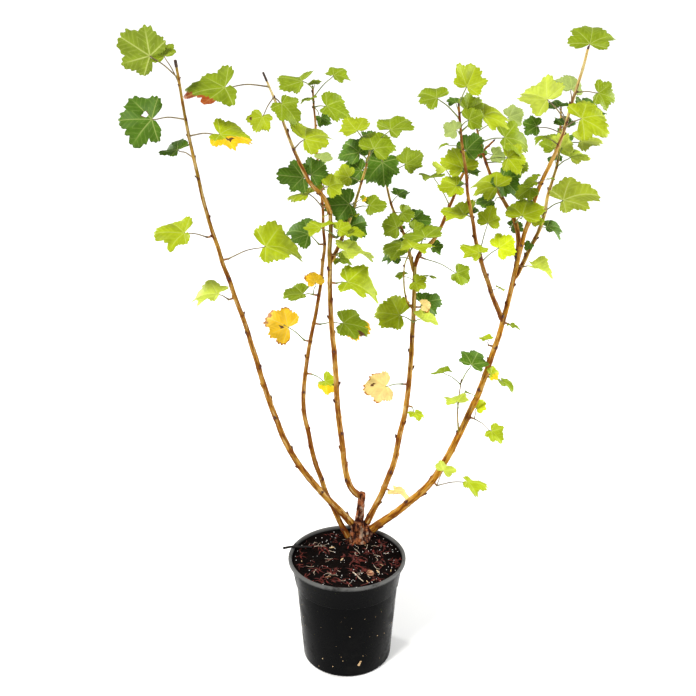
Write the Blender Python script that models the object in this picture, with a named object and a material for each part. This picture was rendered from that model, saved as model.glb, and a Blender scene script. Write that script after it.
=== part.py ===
"""A jostaberry bush in its nursery pot: a knobbly stool, five canes that fork, and lobed leaves.

Sizes are in millimetres and become metres where a mesh is finished. +X is the viewer's right, +Y points away
from the viewer and +Z is up. The origin is the centre of the pot's flat underside.
"""

import math
import random

import bmesh
import bpy
from mathutils import Matrix, Vector
from mathutils.bvhtree import BVHTree

MM = 0.001
GAP = 0.3

# Pot
POT_HEIGHT = 184
RIM_RADIUS = 95
COLLAR_TOP_RADIUS = 90.5
COLLAR_LOW_RADIUS = 84
COLLAR_DEPTH = 45
COLLAR_STEP = 2
LIP_HEIGHT = 6
BODY_LOW_RADIUS = 72
BASE_EDGE = 4
WALL = 1.6
FLOOR = 2.0
POT_SIDES = 40
DRAIN_HOLES = 6
DRAIN_RADIUS = 5
DRAIN_CIRCLE = 50

# Soil
SOIL_BELOW_RIM = 7
SOIL_TOP = POT_HEIGHT - SOIL_BELOW_RIM
SOIL_TAPER = 0.4

# Stool, the old woody base that every cane leaves
STOOL_CENTRE = (20, 60)
STOOL_PROFILE = ((0, -6), (21, -6), (20, 5), (17, 11), (13, 18), (10, 24), (7, 27), (0, 27))
HEART_HEIGHT = 10
STOOL_SIDES = 12
STOOL_KNOBS = 7
KNUCKLE_LENGTH = 12

# Canes and twigs
NODE_SPACING = 28
NODE_SHIFT = 0.9
FOOT_FLARE = 0.18
FLARE_LENGTH = 18
CANE_SIDES = 7
TWIG_SIDES = 5
THICKEST_TWIG = 2
FARTHEST_START = 50
START_STEP = 0.2
STRAIGHT_ON = 14

# Leaves
PETIOLE_RADIUS = 0.9
SPUR_RADIUS = 1.5
SPUR_LENGTH = 7
BLADE_THICKNESS = 0.022
THINNEST_BLADE = 1.0
FULLNESS = 1.16
TIP_DROOP = 0.1
BLADE_SAG = 0.03
HUB_BACK = 0.13
THINNEST_VIEW = 0.3
ROOM_SCALE = 1.05
PETIOLE_ARCH = 0.1
DENSE_MASS = 6
COMPANION_CHANCE = 0.5
COMPANION_SIZE = 0.55
COMPANION_LEAN = 30
COMPANION_REACH = 0.6
COMPANION_BEHIND = 14
SMALLEST_PARENT = 34

# Clocks are read on a sheet that faces the viewer and leans back by this angle
SHEET_LEAN = math.radians(22)
SHEET_RIGHT = Vector((1, 0, 0))
SHEET_UP = Vector((0, math.sin(SHEET_LEAN), math.cos(SHEET_LEAN)))
TO_VIEWER = Vector((0, -math.cos(SHEET_LEAN), math.sin(SHEET_LEAN)))

# Each limb: what it grows from, how far along that, the points it passes through, its radius at foot and
# tip, and the share of its length that is a bare bough before its mass of leaves begins.
LIMBS = {
    "cut_stub": (
        "stool",
        0,
        ((20, 62, 211), (25, 62, 265)),
        7.2,
        6.8,
        1,
    ),
    "left_cane": (
        "stool",
        0,
        (
            (7, 48, 216),
            (-71, 40, 318),
            (-112, 38, 412),
            (-154, 20, 579),
            (-190, -8, 723),
            (-212, -40, 859),
            (-221, -70, 973),
        ),
        5.3,
        2.0,
        0.80,
    ),
    "back_cane": (
        "stool",
        0,
        (
            (2, 46, 190),
            (-36, 67, 267),
            (-62, 77, 362),
            (-69, 92, 444),
            (-41, 143, 605),
            (-37, 172, 687),
            (-48, 212, 799),
            (-54, 240, 891),
        ),
        4.3,
        1.8,
        0.80,
    ),
    "fourth_cane": (
        "stool",
        0,
        ((33, 67, 205), (69, 84, 281), (90, 101, 366), (102, 118, 452), (106, 134, 539), (108, 150, 626)),
        4.9,
        3.7,
        1,
    ),
    "right_cane": (
        "stool",
        0,
        (
            (41, 56, 199),
            (94, 54, 244),
            (148, 48, 311),
            (199, 40, 437),
            (230, 30, 556),
            (253, 16, 695),
            (273, 5, 792),
            (295, -6, 858),
            (318, -30, 983),
        ),
        6.1,
        2.1,
        0.81,
    ),
    "centre_cane": (
        "cut_stub",
        0.8,
        ((4, 59, 281), (-10, 57, 376), (-19, 51, 499), (-25, 40, 622), (-24, 25, 745)),
        4.8,
        3.6,
        1,
    ),
    "centre_left_fork": (
        "centre_cane",
        1,
        ((-53, 14, 794), (-75, 1, 846), (-92, -14, 900), (-111, -30, 952)),
        3.3,
        1.5,
        0.36,
    ),
    "centre_right_fork": (
        "centre_cane",
        0.84,
        ((-2, 47, 716), (13, 66, 750), (24, 87, 785), (34, 110, 818)),
        2.9,
        1.6,
        0.42,
    ),
    "fourth_right_fork": (
        "fourth_cane",
        1,
        ((140, 146, 675), (161, 140, 731), (182, 132, 787), (219, 120, 831)),
        3.3,
        1.7,
        0.42,
    ),
    "fourth_left_fork": (
        "fourth_cane",
        0.97,
        ((92, 161, 672), (73, 175, 711), (62, 191, 751), (54, 210, 791)),
        2.9,
        1.6,
        0,
    ),
    "side_twig": (
        "fourth_cane",
        0.84,
        ((93, 115, 584), (90, 106, 612), (88, 100, 640), (97, 95, 668)),
        1.5,
        1.1,
        0,
    ),
    "right_left_branch": (
        "right_cane",
        0.51,
        ((195, -12, 677), (173, -45, 759), (156, -79, 841), (142, -115, 923)),
        3.5,
        1.7,
        0.12,
    ),
    "right_inner_branch": (
        "right_cane",
        0.63,
        ((246, 25, 729), (218, 32, 775), (199, 40, 817), (186, 50, 861)),
        3.7,
        1.7,
        0.15,
    ),
    "right_side_branch": (
        "right_cane",
        0.59,
        ((279, 35, 712), (297, 60, 767), (312, 87, 823), (316, 115, 880)),
        3.3,
        1.6,
        0.18,
    ),
    "low_shoot": (
        "right_cane",
        0.27,
        ((174, 30, 414), (173, 26, 444), (175, 20, 483)),
        1.4,
        0.9,
        0,
    ),
}

# Leaf tints: the blade's plain colour
TINTS = {
    "dark": (0.10, 0.25, 0.04),
    "mid": (0.22, 0.42, 0.05),
    "lime": (0.42, 0.58, 0.06),
    "pale": (0.52, 0.66, 0.22),
    "grey": (0.38, 0.50, 0.26),
    "tipped": (0.20, 0.38, 0.05),
    "yellow": (0.62, 0.60, 0.06),
    "bright": (0.62, 0.70, 0.05),
    "orange": (0.85, 0.50, 0.07),
    "straw": (0.80, 0.62, 0.30),
    "red": (0.45, 0.35, 0.06),
}

# Leaves of each limb: share along it, clock and reach of the blade's middle, how far it stands toward the
# viewer, the blade's width, how many degrees its face leans toward the viewer from lying flat, and its tint.
# Leaves with one share on a bare bough grow from one spur.
LEAVES = {
    "left_cane": (
        (0.97, 306, 62, 24, 60, -85, "mid"),
        (0.96, 332, 50, 10, 32, 60, "mid"),
        (0.90, 273, 67, -10, 62, 60, "dark"),
        (0.87, 90, 60, 12, 52, 40, "yellow"),
        (0.83, 300, 40, -22, 38, 25, "dark"),
        (0.68, 274, 58, 8, 53, 40, "lime"),
        (0.63, 74, 88, 10, 64, 40, "lime"),
        (0.55, 280, 42, 12, 56, 8, "pale"),
    ),
    "back_cane": (
        (1.00, 290, 34, 14, 54, 18, "mid"),
        (0.99, 10, 20, -8, 18, 25, "mid"),
        (0.98, 42, 60, -6, 36, 45, "mid"),
        (0.96, 94, 36, 16, 48, 25, "mid"),
        (0.97, 300, 12, 12, 26, 15, "mid"),
        (0.84, 50, 14, 20, 26, 40, "grey"),
        (0.67, 300, 44, 12, 46, 50, "dark"),
        (0.56, 345, 30, 14, 28, 60, "orange"),
        (0.56, 276, 40, -8, 42, 25, "mid"),
        (0.50, 90, 66, 0, 58, 30, "tipped"),
        (0.46, 303, 60, 14, 54, 60, "orange"),
        (0.39, 113, 44, -12, 34, 40, "yellow"),
    ),
    "centre_cane": (
        (0.93, 305, 26, 24, 40, 10, "lime"),
        (0.93, 60, 22, 24, 24, 60, "lime"),
        (0.93, 85, 38, 14, 34, 15, "lime"),
        (0.93, 60, 46, -24, 42, 45, "dark"),
        (0.87, 81, 40, 20, 54, 0, "pale"),
        (0.87, 105, 24, -14, 27, 20, "mid"),
        (0.78, 90, 46, 14, 60, 22, "lime"),
    ),
    "centre_left_fork": (
        (0.91, 267, 80, 8, 66, 22, "red"),
        (0.84, 208, 40, 10, 30, 50, "lime"),
        (0.84, 125, 24, -2, 36, 50, "mid"),
        (0.49, 55, 36, 10, 52, 35, "lime"),
        (0.29, 280, 20, -8, 42, 60, "dark"),
        (0.29, 45, 20, -12, 36, 60, "dark"),
        (0.16, 60, 26, 8, 32, 50, "lime"),
        (0.16, 20, 24, -8, 20, 50, "dark"),
        (0.05, 304, 46, -4, 52, 12, "lime"),
    ),
    "centre_right_fork": (
        (1.00, 325, 45, 10, 44, 25, "lime"),
        (1.00, 46, 58, 12, 48, 48, "mid"),
        (0.92, 318, 34, -16, 46, 55, "dark"),
        (0.89, 28, 38, 12, 48, 60, "mid"),
        (0.84, 275, 18, -18, 36, 60, "dark"),
        (0.72, 290, 30, 12, 32, 60, "lime"),
        (0.53, 60, 16, 14, 10, 60, "yellow"),
        (0.52, 270, 22, 16, 44, 60, "dark"),
        (0.49, 80, 36, 8, 36, 40, "mid"),
        (0.36, 310, 30, -10, 27, 0, "yellow"),
        (0.36, 35, 18, 12, 16, 30, "mid"),
    ),
    "fourth_cane": (
        (0.94, 300, 27, 8, 20, 10, "mid"),
        (0.94, 65, 27, 10, 21, 0, "mid"),
        (0.94, 110, 9, 14, 28, 55, "lime"),
        (0.85, 68, 30, -18, 40, 40, "dark"),
        (0.85, 80, 20, 14, 19, 60, "straw"),
        (0.80, 290, 42, 8, 56, 40, "lime"),
        (0.80, 80, 24, 18, 40, 5, "pale"),
        (0.56, 266, 54, 10, 48, 50, "straw"),
        (0.48, 130, 22, 8, 24, 0, "lime"),
        (0.15, 104, 28, 6, 36, 5, "straw"),
    ),
    "side_twig": ((1.00, 40, 16, 14, 48, 20, "lime"),),
    "fourth_left_fork": (
        (0.96, 175, 20, 16, 50, 50, "dark"),
        (0.81, 57, 50, 8, 38, 45, "mid"),
        (0.60, 38, 27, -8, 28, 40, "dark"),
        (0.52, 95, 20, 10, 27, 60, "mid"),
        (0.46, 88, 36, -6, 34, 45, "dark"),
        (0.36, 295, 22, 12, 35, 60, "mid"),
        (0.33, 60, 24, 12, 22, 45, "mid"),
        (0.31, 70, 42, -8, 26, 25, "dark"),
        (0.23, 270, 22, 20, 40, 15, "mid"),
        (0.12, 287, 32, -10, 34, 30, "dark"),
    ),
    "fourth_right_fork": (
        (0.96, 250, 14, -14, 20, 60, "dark"),
        (0.69, 240, 20, 10, 27, 20, "dark"),
        (0.48, 328, 58, 6, 36, 20, "mid"),
        (0.14, 350, 26, 28, 54, 20, "mid"),
        (0.14, 80, 22, -12, 24, 35, "dark"),
        (0.07, 114, 76, 4, 32, 60, "mid"),
        (0.60, 335, 44, -16, 34, 25, "pale"),
    ),
    "right_left_branch": (
        (1.00, 22, 38, 8, 40, 60, "lime"),
        (0.97, 55, 24, -12, 32, 60, "mid"),
        (0.95, 309, 51, 6, 38, 38, "mid"),
        (0.92, 60, 20, 14, 27, 60, "mid"),
        (0.90, 57, 49, 4, 50, 35, "lime"),
        (0.88, 300, 18, 16, 22, 60, "grey"),
        (0.83, 280, 26, 6, 13, 10, "mid"),
        (0.81, 40, 20, -12, 34, 60, "dark"),
        (0.70, 340, 30, 0, 42, 55, "lime"),
        (0.68, 264, 24, -8, 33, 25, "lime"),
        (0.53, 288, 26, -4, 46, 20, "lime"),
        (0.36, 14, 56, 6, 32, 60, "lime"),
        (0.34, 300, 18, 36, 34, 25, "lime"),
        (0.32, 51, 42, 8, 34, 60, "bright"),
        (0.17, 70, 16, 6, 13, 0, "pale"),
    ),
    "right_inner_branch": (
        (0.99, 65, 60, -4, 28, 60, "grey"),
        (0.91, 82, 49, 10, 46, 35, "mid"),
        (0.83, 90, 24, -10, 24, 60, "grey"),
        (0.78, 90, 42, 18, 38, 60, "lime"),
        (0.76, 92, 48, -10, 30, 60, "mid"),
        (0.68, 120, 32, 6, 45, 45, "dark"),
        (0.48, 315, 34, 22, 52, 40, "lime"),
        (0.27, 20, 20, 44, 46, 42, "lime"),
    ),
    "right_cane": (
        (0.97, 13, 48, 6, 52, 55, "mid"),
        (0.93, 95, 40, 8, 32, 60, "mid"),
        (0.91, 5, 36, -14, 33, 60, "grey"),
        (0.90, 80, 34, -12, 43, 35, "dark"),
        (0.88, 313, 58, 10, 55, 42, "pale"),
        (0.87, 68, 36, 28, 56, 42, "lime"),
        (0.86, 290, 46, -10, 28, 60, "dark"),
        (0.84, 295, 28, 6, 22, 20, "mid"),
        (0.77, 275, 18, 12, 21, 35, "mid"),
        (0.77, 320, 14, 8, 11, 35, "mid"),
        (0.77, 65, 14, 8, 10, 0, "mid"),
        (0.77, 245, 24, -2, 28, 30, "mid"),
        (0.62, 94, 36, 8, 38, 0, "pale"),
        (0.51, 110, 18, 6, 18, 5, "mid"),
        (0.46, 312, 22, 6, 20, 10, "lime"),
        (0.40, 70, 14, 12, 20, 60, "yellow"),
        (0.40, 108, 36, -4, 30, 0, "mid"),
        (0.31, 47, 28, 0, 24, 50, "bright"),
        (0.31, 121, 52, 4, 28, 35, "lime"),
        (0.16, 36, 33, 32, 30, 30, "pale"),
        (0.16, 92, 68, 6, 38, 0, "lime"),
    ),
    "right_side_branch": (
        (0.79, 80, 46, 8, 48, 22, "pale"),
        (0.71, 10, 28, 14, 32, 60, "pale"),
        (0.71, 350, 32, -12, 34, 60, "mid"),
        (0.67, 55, 34, 8, 38, 30, "pale"),
        (0.42, 59, 51, 10, 64, -75, "lime"),
        (0.41, 225, 18, 8, 18, 60, "lime"),
        (0.32, 72, 24, -16, 32, 25, "dark"),
        (0.26, 225, 16, 8, 14, 40, "dark"),
    ),
    "low_shoot": (
        (0.98, 28, 44, 6, 42, 40, "dark"),
        (0.94, 305, 40, 6, 28, 5, "mid"),
        (0.64, 50, 24, -4, 17, -5, "mid"),
        (0.55, 334, 20, 24, 34, 20, "pale"),
    ),
}

# Half of a blade's outline about its hub: degrees from the tip, and distance as a share of the width
HALF_OUTLINE = ((0, 0.58), (20, 0.51), (38, 0.41), (64, 0.53), (96, 0.44), (130, 0.50), (180, 0.26))

# Turns that are tried, in degrees and millimetres, where a leaf would touch a neighbour
DODGES = tuple((turn, shift) for shift in (0, 9, -9, 18, -18) for turn in (0, 12, -12, 26, -26, 42, -42))


def clear_scene():
    for obj in list(bpy.data.objects):
        bpy.data.objects.remove(obj, do_unlink=True)


def finish_material(name, color, roughness, metallic=0.0):
    """A plain Principled material, made once and shared by name."""
    material = bpy.data.materials.get(name)
    if material is None:
        material = bpy.data.materials.new(name)
        material.use_nodes = True
        shader = material.node_tree.nodes["Principled BSDF"]
        shader.inputs["Base Color"].default_value = (*color, 1)
        shader.inputs["Roughness"].default_value = roughness
        shader.inputs["Metallic"].default_value = metallic
        material.diffuse_color = (*color, 1)
    return material


def bark():
    return finish_material("tan_bark", (0.36, 0.19, 0.06), 0.7)


def old_bark():
    return finish_material("old_bark", (0.12, 0.06, 0.035), 0.85)


def leaf_green(tint):
    return finish_material("leaf_" + tint, TINTS[tint], 0.5)


def object_from(name, mesh_in_mm, material, collection=None):
    """Turns a bmesh in millimetres into an object in metres, and frees it."""
    bmesh.ops.scale(mesh_in_mm, vec=(MM, MM, MM), verts=mesh_in_mm.verts)
    bmesh.ops.recalc_face_normals(mesh_in_mm, faces=mesh_in_mm.faces)
    mesh = bpy.data.meshes.new(name)
    mesh_in_mm.to_mesh(mesh)
    mesh_in_mm.free()
    mesh.materials.append(material)
    obj = bpy.data.objects.new(name, mesh)
    (collection or bpy.context.scene.collection).objects.link(obj)
    return obj


def shade_round(obj, angle=35):
    obj.data.shade_smooth()
    obj.data.set_sharp_from_angle(angle=math.radians(angle))


def turned(profile, sides, centre=(0, 0), foot=0):
    """A closed solid from a profile of (radius, height) that starts and ends on the upright axis."""
    solid = bmesh.new()
    points = [solid.verts.new((centre[0] + radius, centre[1], foot + height)) for radius, height in profile]
    edges = [solid.edges.new(pair) for pair in zip(points, points[1:])]
    bmesh.ops.spin(
        solid,
        geom=points + edges,
        cent=(*centre, 0),
        axis=(0, 0, 1),
        angle=math.tau,
        steps=sides,
        use_merge=True,
        use_duplicate=False,
    )
    bmesh.ops.remove_doubles(solid, verts=solid.verts, dist=0.001)
    bmesh.ops.recalc_face_normals(solid, faces=solid.faces)
    return solid


def headings_of(path):
    """The way a path runs at each of its points."""
    ends = zip([path[0], *path], [*path[1:], path[-1]])
    return [(after - before).normalized() for before, after in ends]


def tube(path, radii, sides, headings=None):
    """A closed tube through the points of a path, with flat ends square to its headings."""
    solid = bmesh.new()
    rings = []
    headings = headings or headings_of(path)
    side = headings[0].orthogonal().normalized()
    last = headings[0]
    for point, radius, heading in zip(path, radii, headings):
        side = (last.rotation_difference(heading) @ side).normalized()
        last = heading
        ring = []
        for corner in range(sides):
            spoke = Matrix.Rotation(math.tau * corner / sides, 3, heading) @ side
            ring.append(solid.verts.new(point + radius * spoke))
        rings.append(ring)
    for low, high in zip(rings, rings[1:]):
        for corner in range(sides):
            after = (corner + 1) % sides
            solid.faces.new((low[corner], low[after], high[after], high[corner]))
    solid.faces.new(reversed(rings[0]))
    solid.faces.new(rings[-1])
    return solid


def spline(points, steps=12):
    """Points along a smooth curve that passes through every given point."""
    knots = [2 * points[0] - points[1], *points, 2 * points[-1] - points[-2]]
    path = []
    for a, b, c, d in zip(knots, knots[1:], knots[2:], knots[3:]):
        for step in range(steps):
            t = step / steps
            bend = (2 * a - 5 * b + 4 * c - d) * t**2 + (3 * b - a - 3 * c + d) * t**3
            path.append(0.5 * (2 * b + (c - a) * t + bend))
    path.append(points[-1])
    return path


def miles_of(path):
    """The distance walked to each point of a path."""
    miles = [0.0]
    for a, b in zip(path, path[1:]):
        miles.append(miles[-1] + (b - a).length)
    return miles


def point_along(path, distance):
    """The point of a path this far from its start."""
    for a, b in zip(path, path[1:]):
        step = (b - a).length
        if distance <= step:
            return a.lerp(b, max(distance, 0) / step)
        distance -= step
    return path[-1].copy()


class Limb:
    """A tapering limb: straight from node to node, each node set a little aside from a smooth curve."""

    def __init__(self, name, points, foot_radius, tip_radius, carries_on=None):
        self.foot_radius = foot_radius
        self.tip_radius = tip_radius
        self.carries_on = carries_on
        self.sides = CANE_SIDES if foot_radius > THICKEST_TWIG else TWIG_SIDES
        smooth = spline(points)
        length = miles_of(smooth)[-1]
        count = max(2, round(length / NODE_SPACING))
        shifts = random.Random(name)
        self.path = []
        for index in range(count + 1):
            aside = Vector((shifts.uniform(-1, 1), shifts.uniform(-1, 1), 0)) * NODE_SHIFT
            if index in (0, count):
                aside.zero()
            self.path.append(point_along(smooth, length * index / count) + aside)
        self.miles = miles_of(self.path)
        self.length = self.miles[-1]

    def at(self, distance):
        return point_along(self.path, distance)

    def at_share(self, share):
        return self.at(share * self.length)

    def heading(self, distance):
        """The way the limb runs: at a node this is halfway between its two sides."""
        if self.carries_on and distance < 1:
            return self.carries_on
        return (self.at(distance + 1) - self.at(distance - 1)).normalized()

    def radius(self, distance):
        flare = 0 if self.carries_on else FOOT_FLARE * math.exp(-distance / FLARE_LENGTH)
        taper = self.foot_radius + (self.tip_radius - self.foot_radius) * distance / self.length
        return taper * (1 + flare)

    def stretch(self, start, end):
        """A closed tube along part of the limb."""
        inner = [mile for mile in self.miles if start + 3 < mile < end - 3]
        places = [start, *inner, end]
        points = [self.at(place) for place in places]
        radii = [self.radius(place) for place in places]
        return tube(points, radii, self.sides, [self.heading(place) for place in places])


def pot_wall(inset):
    """The pot's outer wall from its foot to under the lip, as (radius, height), moved in by the inset."""
    step_height = POT_HEIGHT - COLLAR_DEPTH
    return [
        (BODY_LOW_RADIUS - inset, BASE_EDGE),
        (COLLAR_LOW_RADIUS - COLLAR_STEP - inset, step_height - COLLAR_STEP),
        (COLLAR_LOW_RADIUS - inset, step_height),
        (COLLAR_TOP_RADIUS - inset, POT_HEIGHT - LIP_HEIGHT),
    ]


def make_pot():
    lip_middle = RIM_RADIUS - 1.5
    outside = [(0, 0), (BODY_LOW_RADIUS - BASE_EDGE, 0), (BODY_LOW_RADIUS - 1, BASE_EDGE / 3), *pot_wall(0)]
    lip = [
        (lip_middle, POT_HEIGHT - LIP_HEIGHT),
        (RIM_RADIUS, POT_HEIGHT - LIP_HEIGHT + 1.5),
        (RIM_RADIUS, POT_HEIGHT - 1.5),
        (lip_middle, POT_HEIGHT),
        (COLLAR_TOP_RADIUS + 0.5, POT_HEIGHT),
    ]
    inside = pot_wall(WALL)[::-1] + [(BODY_LOW_RADIUS - BASE_EDGE - WALL, FLOOR), (0, FLOOR)]
    plastic = finish_material("black_plastic", (0.012, 0.013, 0.015), 0.3)
    pot = object_from("pot", turned(outside + lip + inside, POT_SIDES), plastic)
    holes = bpy.data.collections.new("drain_holes")
    for index in range(DRAIN_HOLES):
        angle = math.tau * (index + 0.5) / DRAIN_HOLES
        place = (DRAIN_CIRCLE * math.cos(angle), DRAIN_CIRCLE * math.sin(angle), FLOOR / 2)
        plug = bmesh.new()
        bmesh.ops.create_cone(
            plug,
            cap_ends=True,
            segments=10,
            radius1=DRAIN_RADIUS,
            radius2=DRAIN_RADIUS,
            depth=4 * FLOOR,
            matrix=Matrix.Translation(place),
        )
        object_from(f"drain_{index}", plug, bark(), holes)
    combine(pot, holes, "DIFFERENCE")
    shade_round(pot)


def make_soil():
    """The root ball fills the pot: it keeps the usual gap to the wall and the floor."""
    low = FLOOR + GAP
    foot = (BODY_LOW_RADIUS - BASE_EDGE - WALL - GAP, low)
    top = (COLLAR_TOP_RADIUS - WALL - GAP - SOIL_TAPER, SOIL_TOP)
    profile = [(0, low), foot, *pot_wall(WALL + GAP)[:3], top, (0, SOIL_TOP)]
    earth = finish_material("potting_soil", (0.035, 0.02, 0.015), 0.95)
    soil = object_from("soil", turned(profile, POT_SIDES), earth)
    shade_round(soil)


def combine(target, collection, operation, solver="EXACT"):
    """Applies one Boolean with a whole collection to the target, then removes that collection's objects."""
    bpy.context.scene.collection.children.link(collection)
    boolean = target.modifiers.new("combine", "BOOLEAN")
    boolean.operation = operation
    boolean.operand_type = "COLLECTION"
    boolean.collection = collection
    boolean.solver = solver
    bpy.context.view_layer.update()
    graph = bpy.context.evaluated_depsgraph_get()
    result = bpy.data.meshes.new_from_object(target.evaluated_get(graph))
    target.modifiers.clear()
    target.data = result
    for obj in list(collection.objects):
        bpy.data.objects.remove(obj, do_unlink=True)
    bpy.data.collections.remove(collection)


def keep_one_body(obj):
    """Fills hollows that the union sealed and drops loose scraps: only the largest closed shell stays."""
    shells = bmesh.new()
    shells.from_mesh(obj.data)
    unseen = set(shells.verts)
    groups = []
    while unseen:
        group = {unseen.pop()}
        front = list(group)
        while front:
            for edge in front.pop().link_edges:
                for vert in edge.verts:
                    if vert in unseen:
                        unseen.discard(vert)
                        group.add(vert)
                        front.append(vert)
        groups.append(group)
    groups.sort(key=len)
    scraps = [vert for group in groups[:-1] for vert in group]
    bmesh.ops.delete(shells, geom=scraps, context="VERTS")
    shells.to_mesh(obj.data)
    shells.free()


def fuse(name, pieces, material):
    """One solid from overlapping pieces."""
    target = object_from(name, pieces[0], material)
    rest = bpy.data.collections.new(name + "_pieces")
    for index, piece in enumerate(pieces[1:]):
        object_from(f"{name}_{index}", piece, material, rest)
    combine(target, rest, "UNION")
    keep_one_body(target)
    shade_round(target)


def make_stool(canes):
    """The mound, one knuckle toward each cane and a few knobs, cut flat just above the soil."""
    ground = SOIL_TOP + GAP
    heart = Vector((*STOOL_CENTRE, ground + HEART_HEIGHT))
    pieces = [turned(STOOL_PROFILE, STOOL_SIDES, STOOL_CENTRE, ground)]
    for cane in canes:
        foot = cane.at(0) - cane.heading(0) * GAP
        shoulder = foot - cane.heading(0) * KNUCKLE_LENGTH
        thick = cane.radius(0)
        pieces.append(tube([heart, shoulder, foot], [1.5 * thick, 1.3 * thick, thick], CANE_SIDES))
    places = random.Random("knobs")
    for _ in range(STOOL_KNOBS):
        angle = places.uniform(0, math.tau)
        height = places.uniform(3, 16)
        spread = 17 - 0.4 * height
        aside = Vector((spread * math.cos(angle), spread * math.sin(angle), height - HEART_HEIGHT))
        knob = bmesh.new()
        where = Matrix.Translation(heart + aside)
        bmesh.ops.create_icosphere(knob, subdivisions=1, radius=places.uniform(3.5, 6), matrix=where)
        pieces.append(knob)
    for piece in pieces:
        level_cut(piece, ground)
    fuse("stool", pieces, old_bark())


def level_cut(piece, height):
    """Removes what lies under a level plane and closes the cut."""
    geometry = [*piece.verts, *piece.edges, *piece.faces]
    level = (0, 0, height)
    bmesh.ops.bisect_plane(piece, geom=geometry, plane_co=level, plane_no=(0, 0, 1), clear_inner=True)
    bmesh.ops.holes_fill(piece, edges=[edge for edge in piece.edges if edge.is_boundary])


class Bush:
    """What has been placed so far, so that each new piece can keep clear of it."""

    def __init__(self):
        self.limbs = {}
        self.starts = {}
        self.boughs = {}
        self.spurs = set()
        self.wood_trees = {}
        self.foliage = []

    def add_limb(self, name):
        parent_name, parent_share, points, foot_radius, tip_radius, bare = LIMBS[name]
        points = [Vector(point) for point in points]
        start = 0.0
        carries_on = None
        if parent_name in self.limbs:
            parent = self.limbs[parent_name]
            root = parent.at(parent_share * parent.length)
            if parent_share == 1:
                carries_on = parent.heading(parent.length)
                points.insert(0, root + carries_on * STRAIGHT_ON)
            points.insert(0, root)
        limb = Limb(name, points, foot_radius, tip_radius, carries_on)
        if parent_name in self.limbs:
            start = GAP if parent_share == 1 else self.clear_start(limb)
        self.limbs[name] = limb
        self.starts[name] = start
        bough_end = bare * limb.length
        if bough_end > start:
            self.boughs[name] = limb.stretch(start, bough_end)

    def clear_start(self, limb):
        """How far along a new limb its square end first stands clear of every limb it grows beside."""
        start = FARTHEST_START
        trees = [BVHTree.FromBMesh(other.stretch(0, other.length)) for other in self.limbs.values()]
        while start > 0:
            heading = limb.heading(start)
            ends = [limb.at(start), limb.at(start) + heading]
            collar = tube(ends, [limb.radius(start) + GAP] * 2, limb.sides, [heading] * 2)
            met = touches(BVHTree.FromBMesh(collar), trees)
            collar.free()
            if met:
                break
            start -= START_STEP
        return start + START_STEP


def blade_rim(width, fold, droop, rng):
    """Rim points of a lobed blade about its hub: x across, y toward the tip, z out of its plane."""
    rim = []
    mirrored = [(-angle, reach) for angle, reach in HALF_OUTLINE[1:-1]][::-1]
    for angle, reach in [*HALF_OUTLINE, *mirrored]:
        reach = reach * width * rng.uniform(0.93, 1.07)
        across = reach * math.sin(math.radians(angle))
        along = reach * math.cos(math.radians(angle))
        lift = fold * abs(across) - droop * along * abs(along) / width
        rim.append(Vector((across, along, lift)))
    return rim


def make_blade(rim, half, frame):
    """A thin lobed blade: a rim with a hub above it and one under it."""
    blade = bmesh.new()
    top = blade.verts.new(frame @ Vector((0, 0, half)))
    low = blade.verts.new(frame @ Vector((0, 0, -half)))
    edge = [blade.verts.new(frame @ point) for point in rim]
    for index, corner in enumerate(edge):
        after = edge[(index + 1) % len(edge)]
        blade.faces.new((top, after, corner))
        blade.faces.new((low, corner, after))
    bmesh.ops.recalc_face_normals(blade, faces=blade.faces)
    return blade


def leaf_frame(node, clock, reach, near, width, lean, rng):
    """The blade's frame at its hub: its middle hangs from the node, and the lean turns its tip and face."""
    angle = math.radians(clock)
    out = SHEET_RIGHT * math.sin(angle) + SHEET_UP * math.cos(angle)
    middle = node + reach * out + near * TO_VIEWER - BLADE_SAG * width * SHEET_UP
    tilt = math.radians(lean)
    rise = Vector((0, math.cos(tilt), math.sin(tilt)))
    seen = rise.dot(SHEET_UP)
    seen = math.copysign(max(abs(seen), THINNEST_VIEW), seen)
    tip_way = SHEET_RIGHT * math.sin(angle) + rise * math.cos(angle) / seen - Vector((0, 0, TIP_DROOP))
    tip_way.normalize()
    sway = Vector((rng.uniform(-0.3, 0.3), rng.uniform(-0.15, 0.15), rng.uniform(-0.1, 0.1)))
    light = Vector((0, -math.sin(tilt), math.cos(tilt))) + sway
    face = (light - light.dot(tip_way) * tip_way).normalized()
    across = tip_way.cross(face)
    frame = Matrix((across, tip_way, face)).transposed().to_4x4()
    frame.translation = middle - HUB_BACK * width * tip_way
    return frame


def make_petiole(joint, frame, width):
    """The leaf stalk: it arches from its joint, passes under the blade's notch and ends sunk in the hub."""
    hub = frame.translation
    span = (hub - joint).length
    arch = joint.lerp(hub, 0.5) + Vector((0, 0, PETIOLE_ARCH * span))
    slim = min(PETIOLE_RADIUS, 0.03 * width + 0.3)
    return tube([joint, arch, hub], [slim * 1.2, slim, slim * 0.8], 3)


def touches(tree, trees):
    return any(tree.overlap(other) for other in trees)


def room_of(rim, half, frame):
    """The search tree of a blade that is a little larger and thicker than the real one."""
    larger = make_blade([point * ROOM_SCALE for point in rim], half + 2 * GAP, frame)
    tree = BVHTree.FromBMesh(larger)
    larger.free()
    return tree


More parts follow.
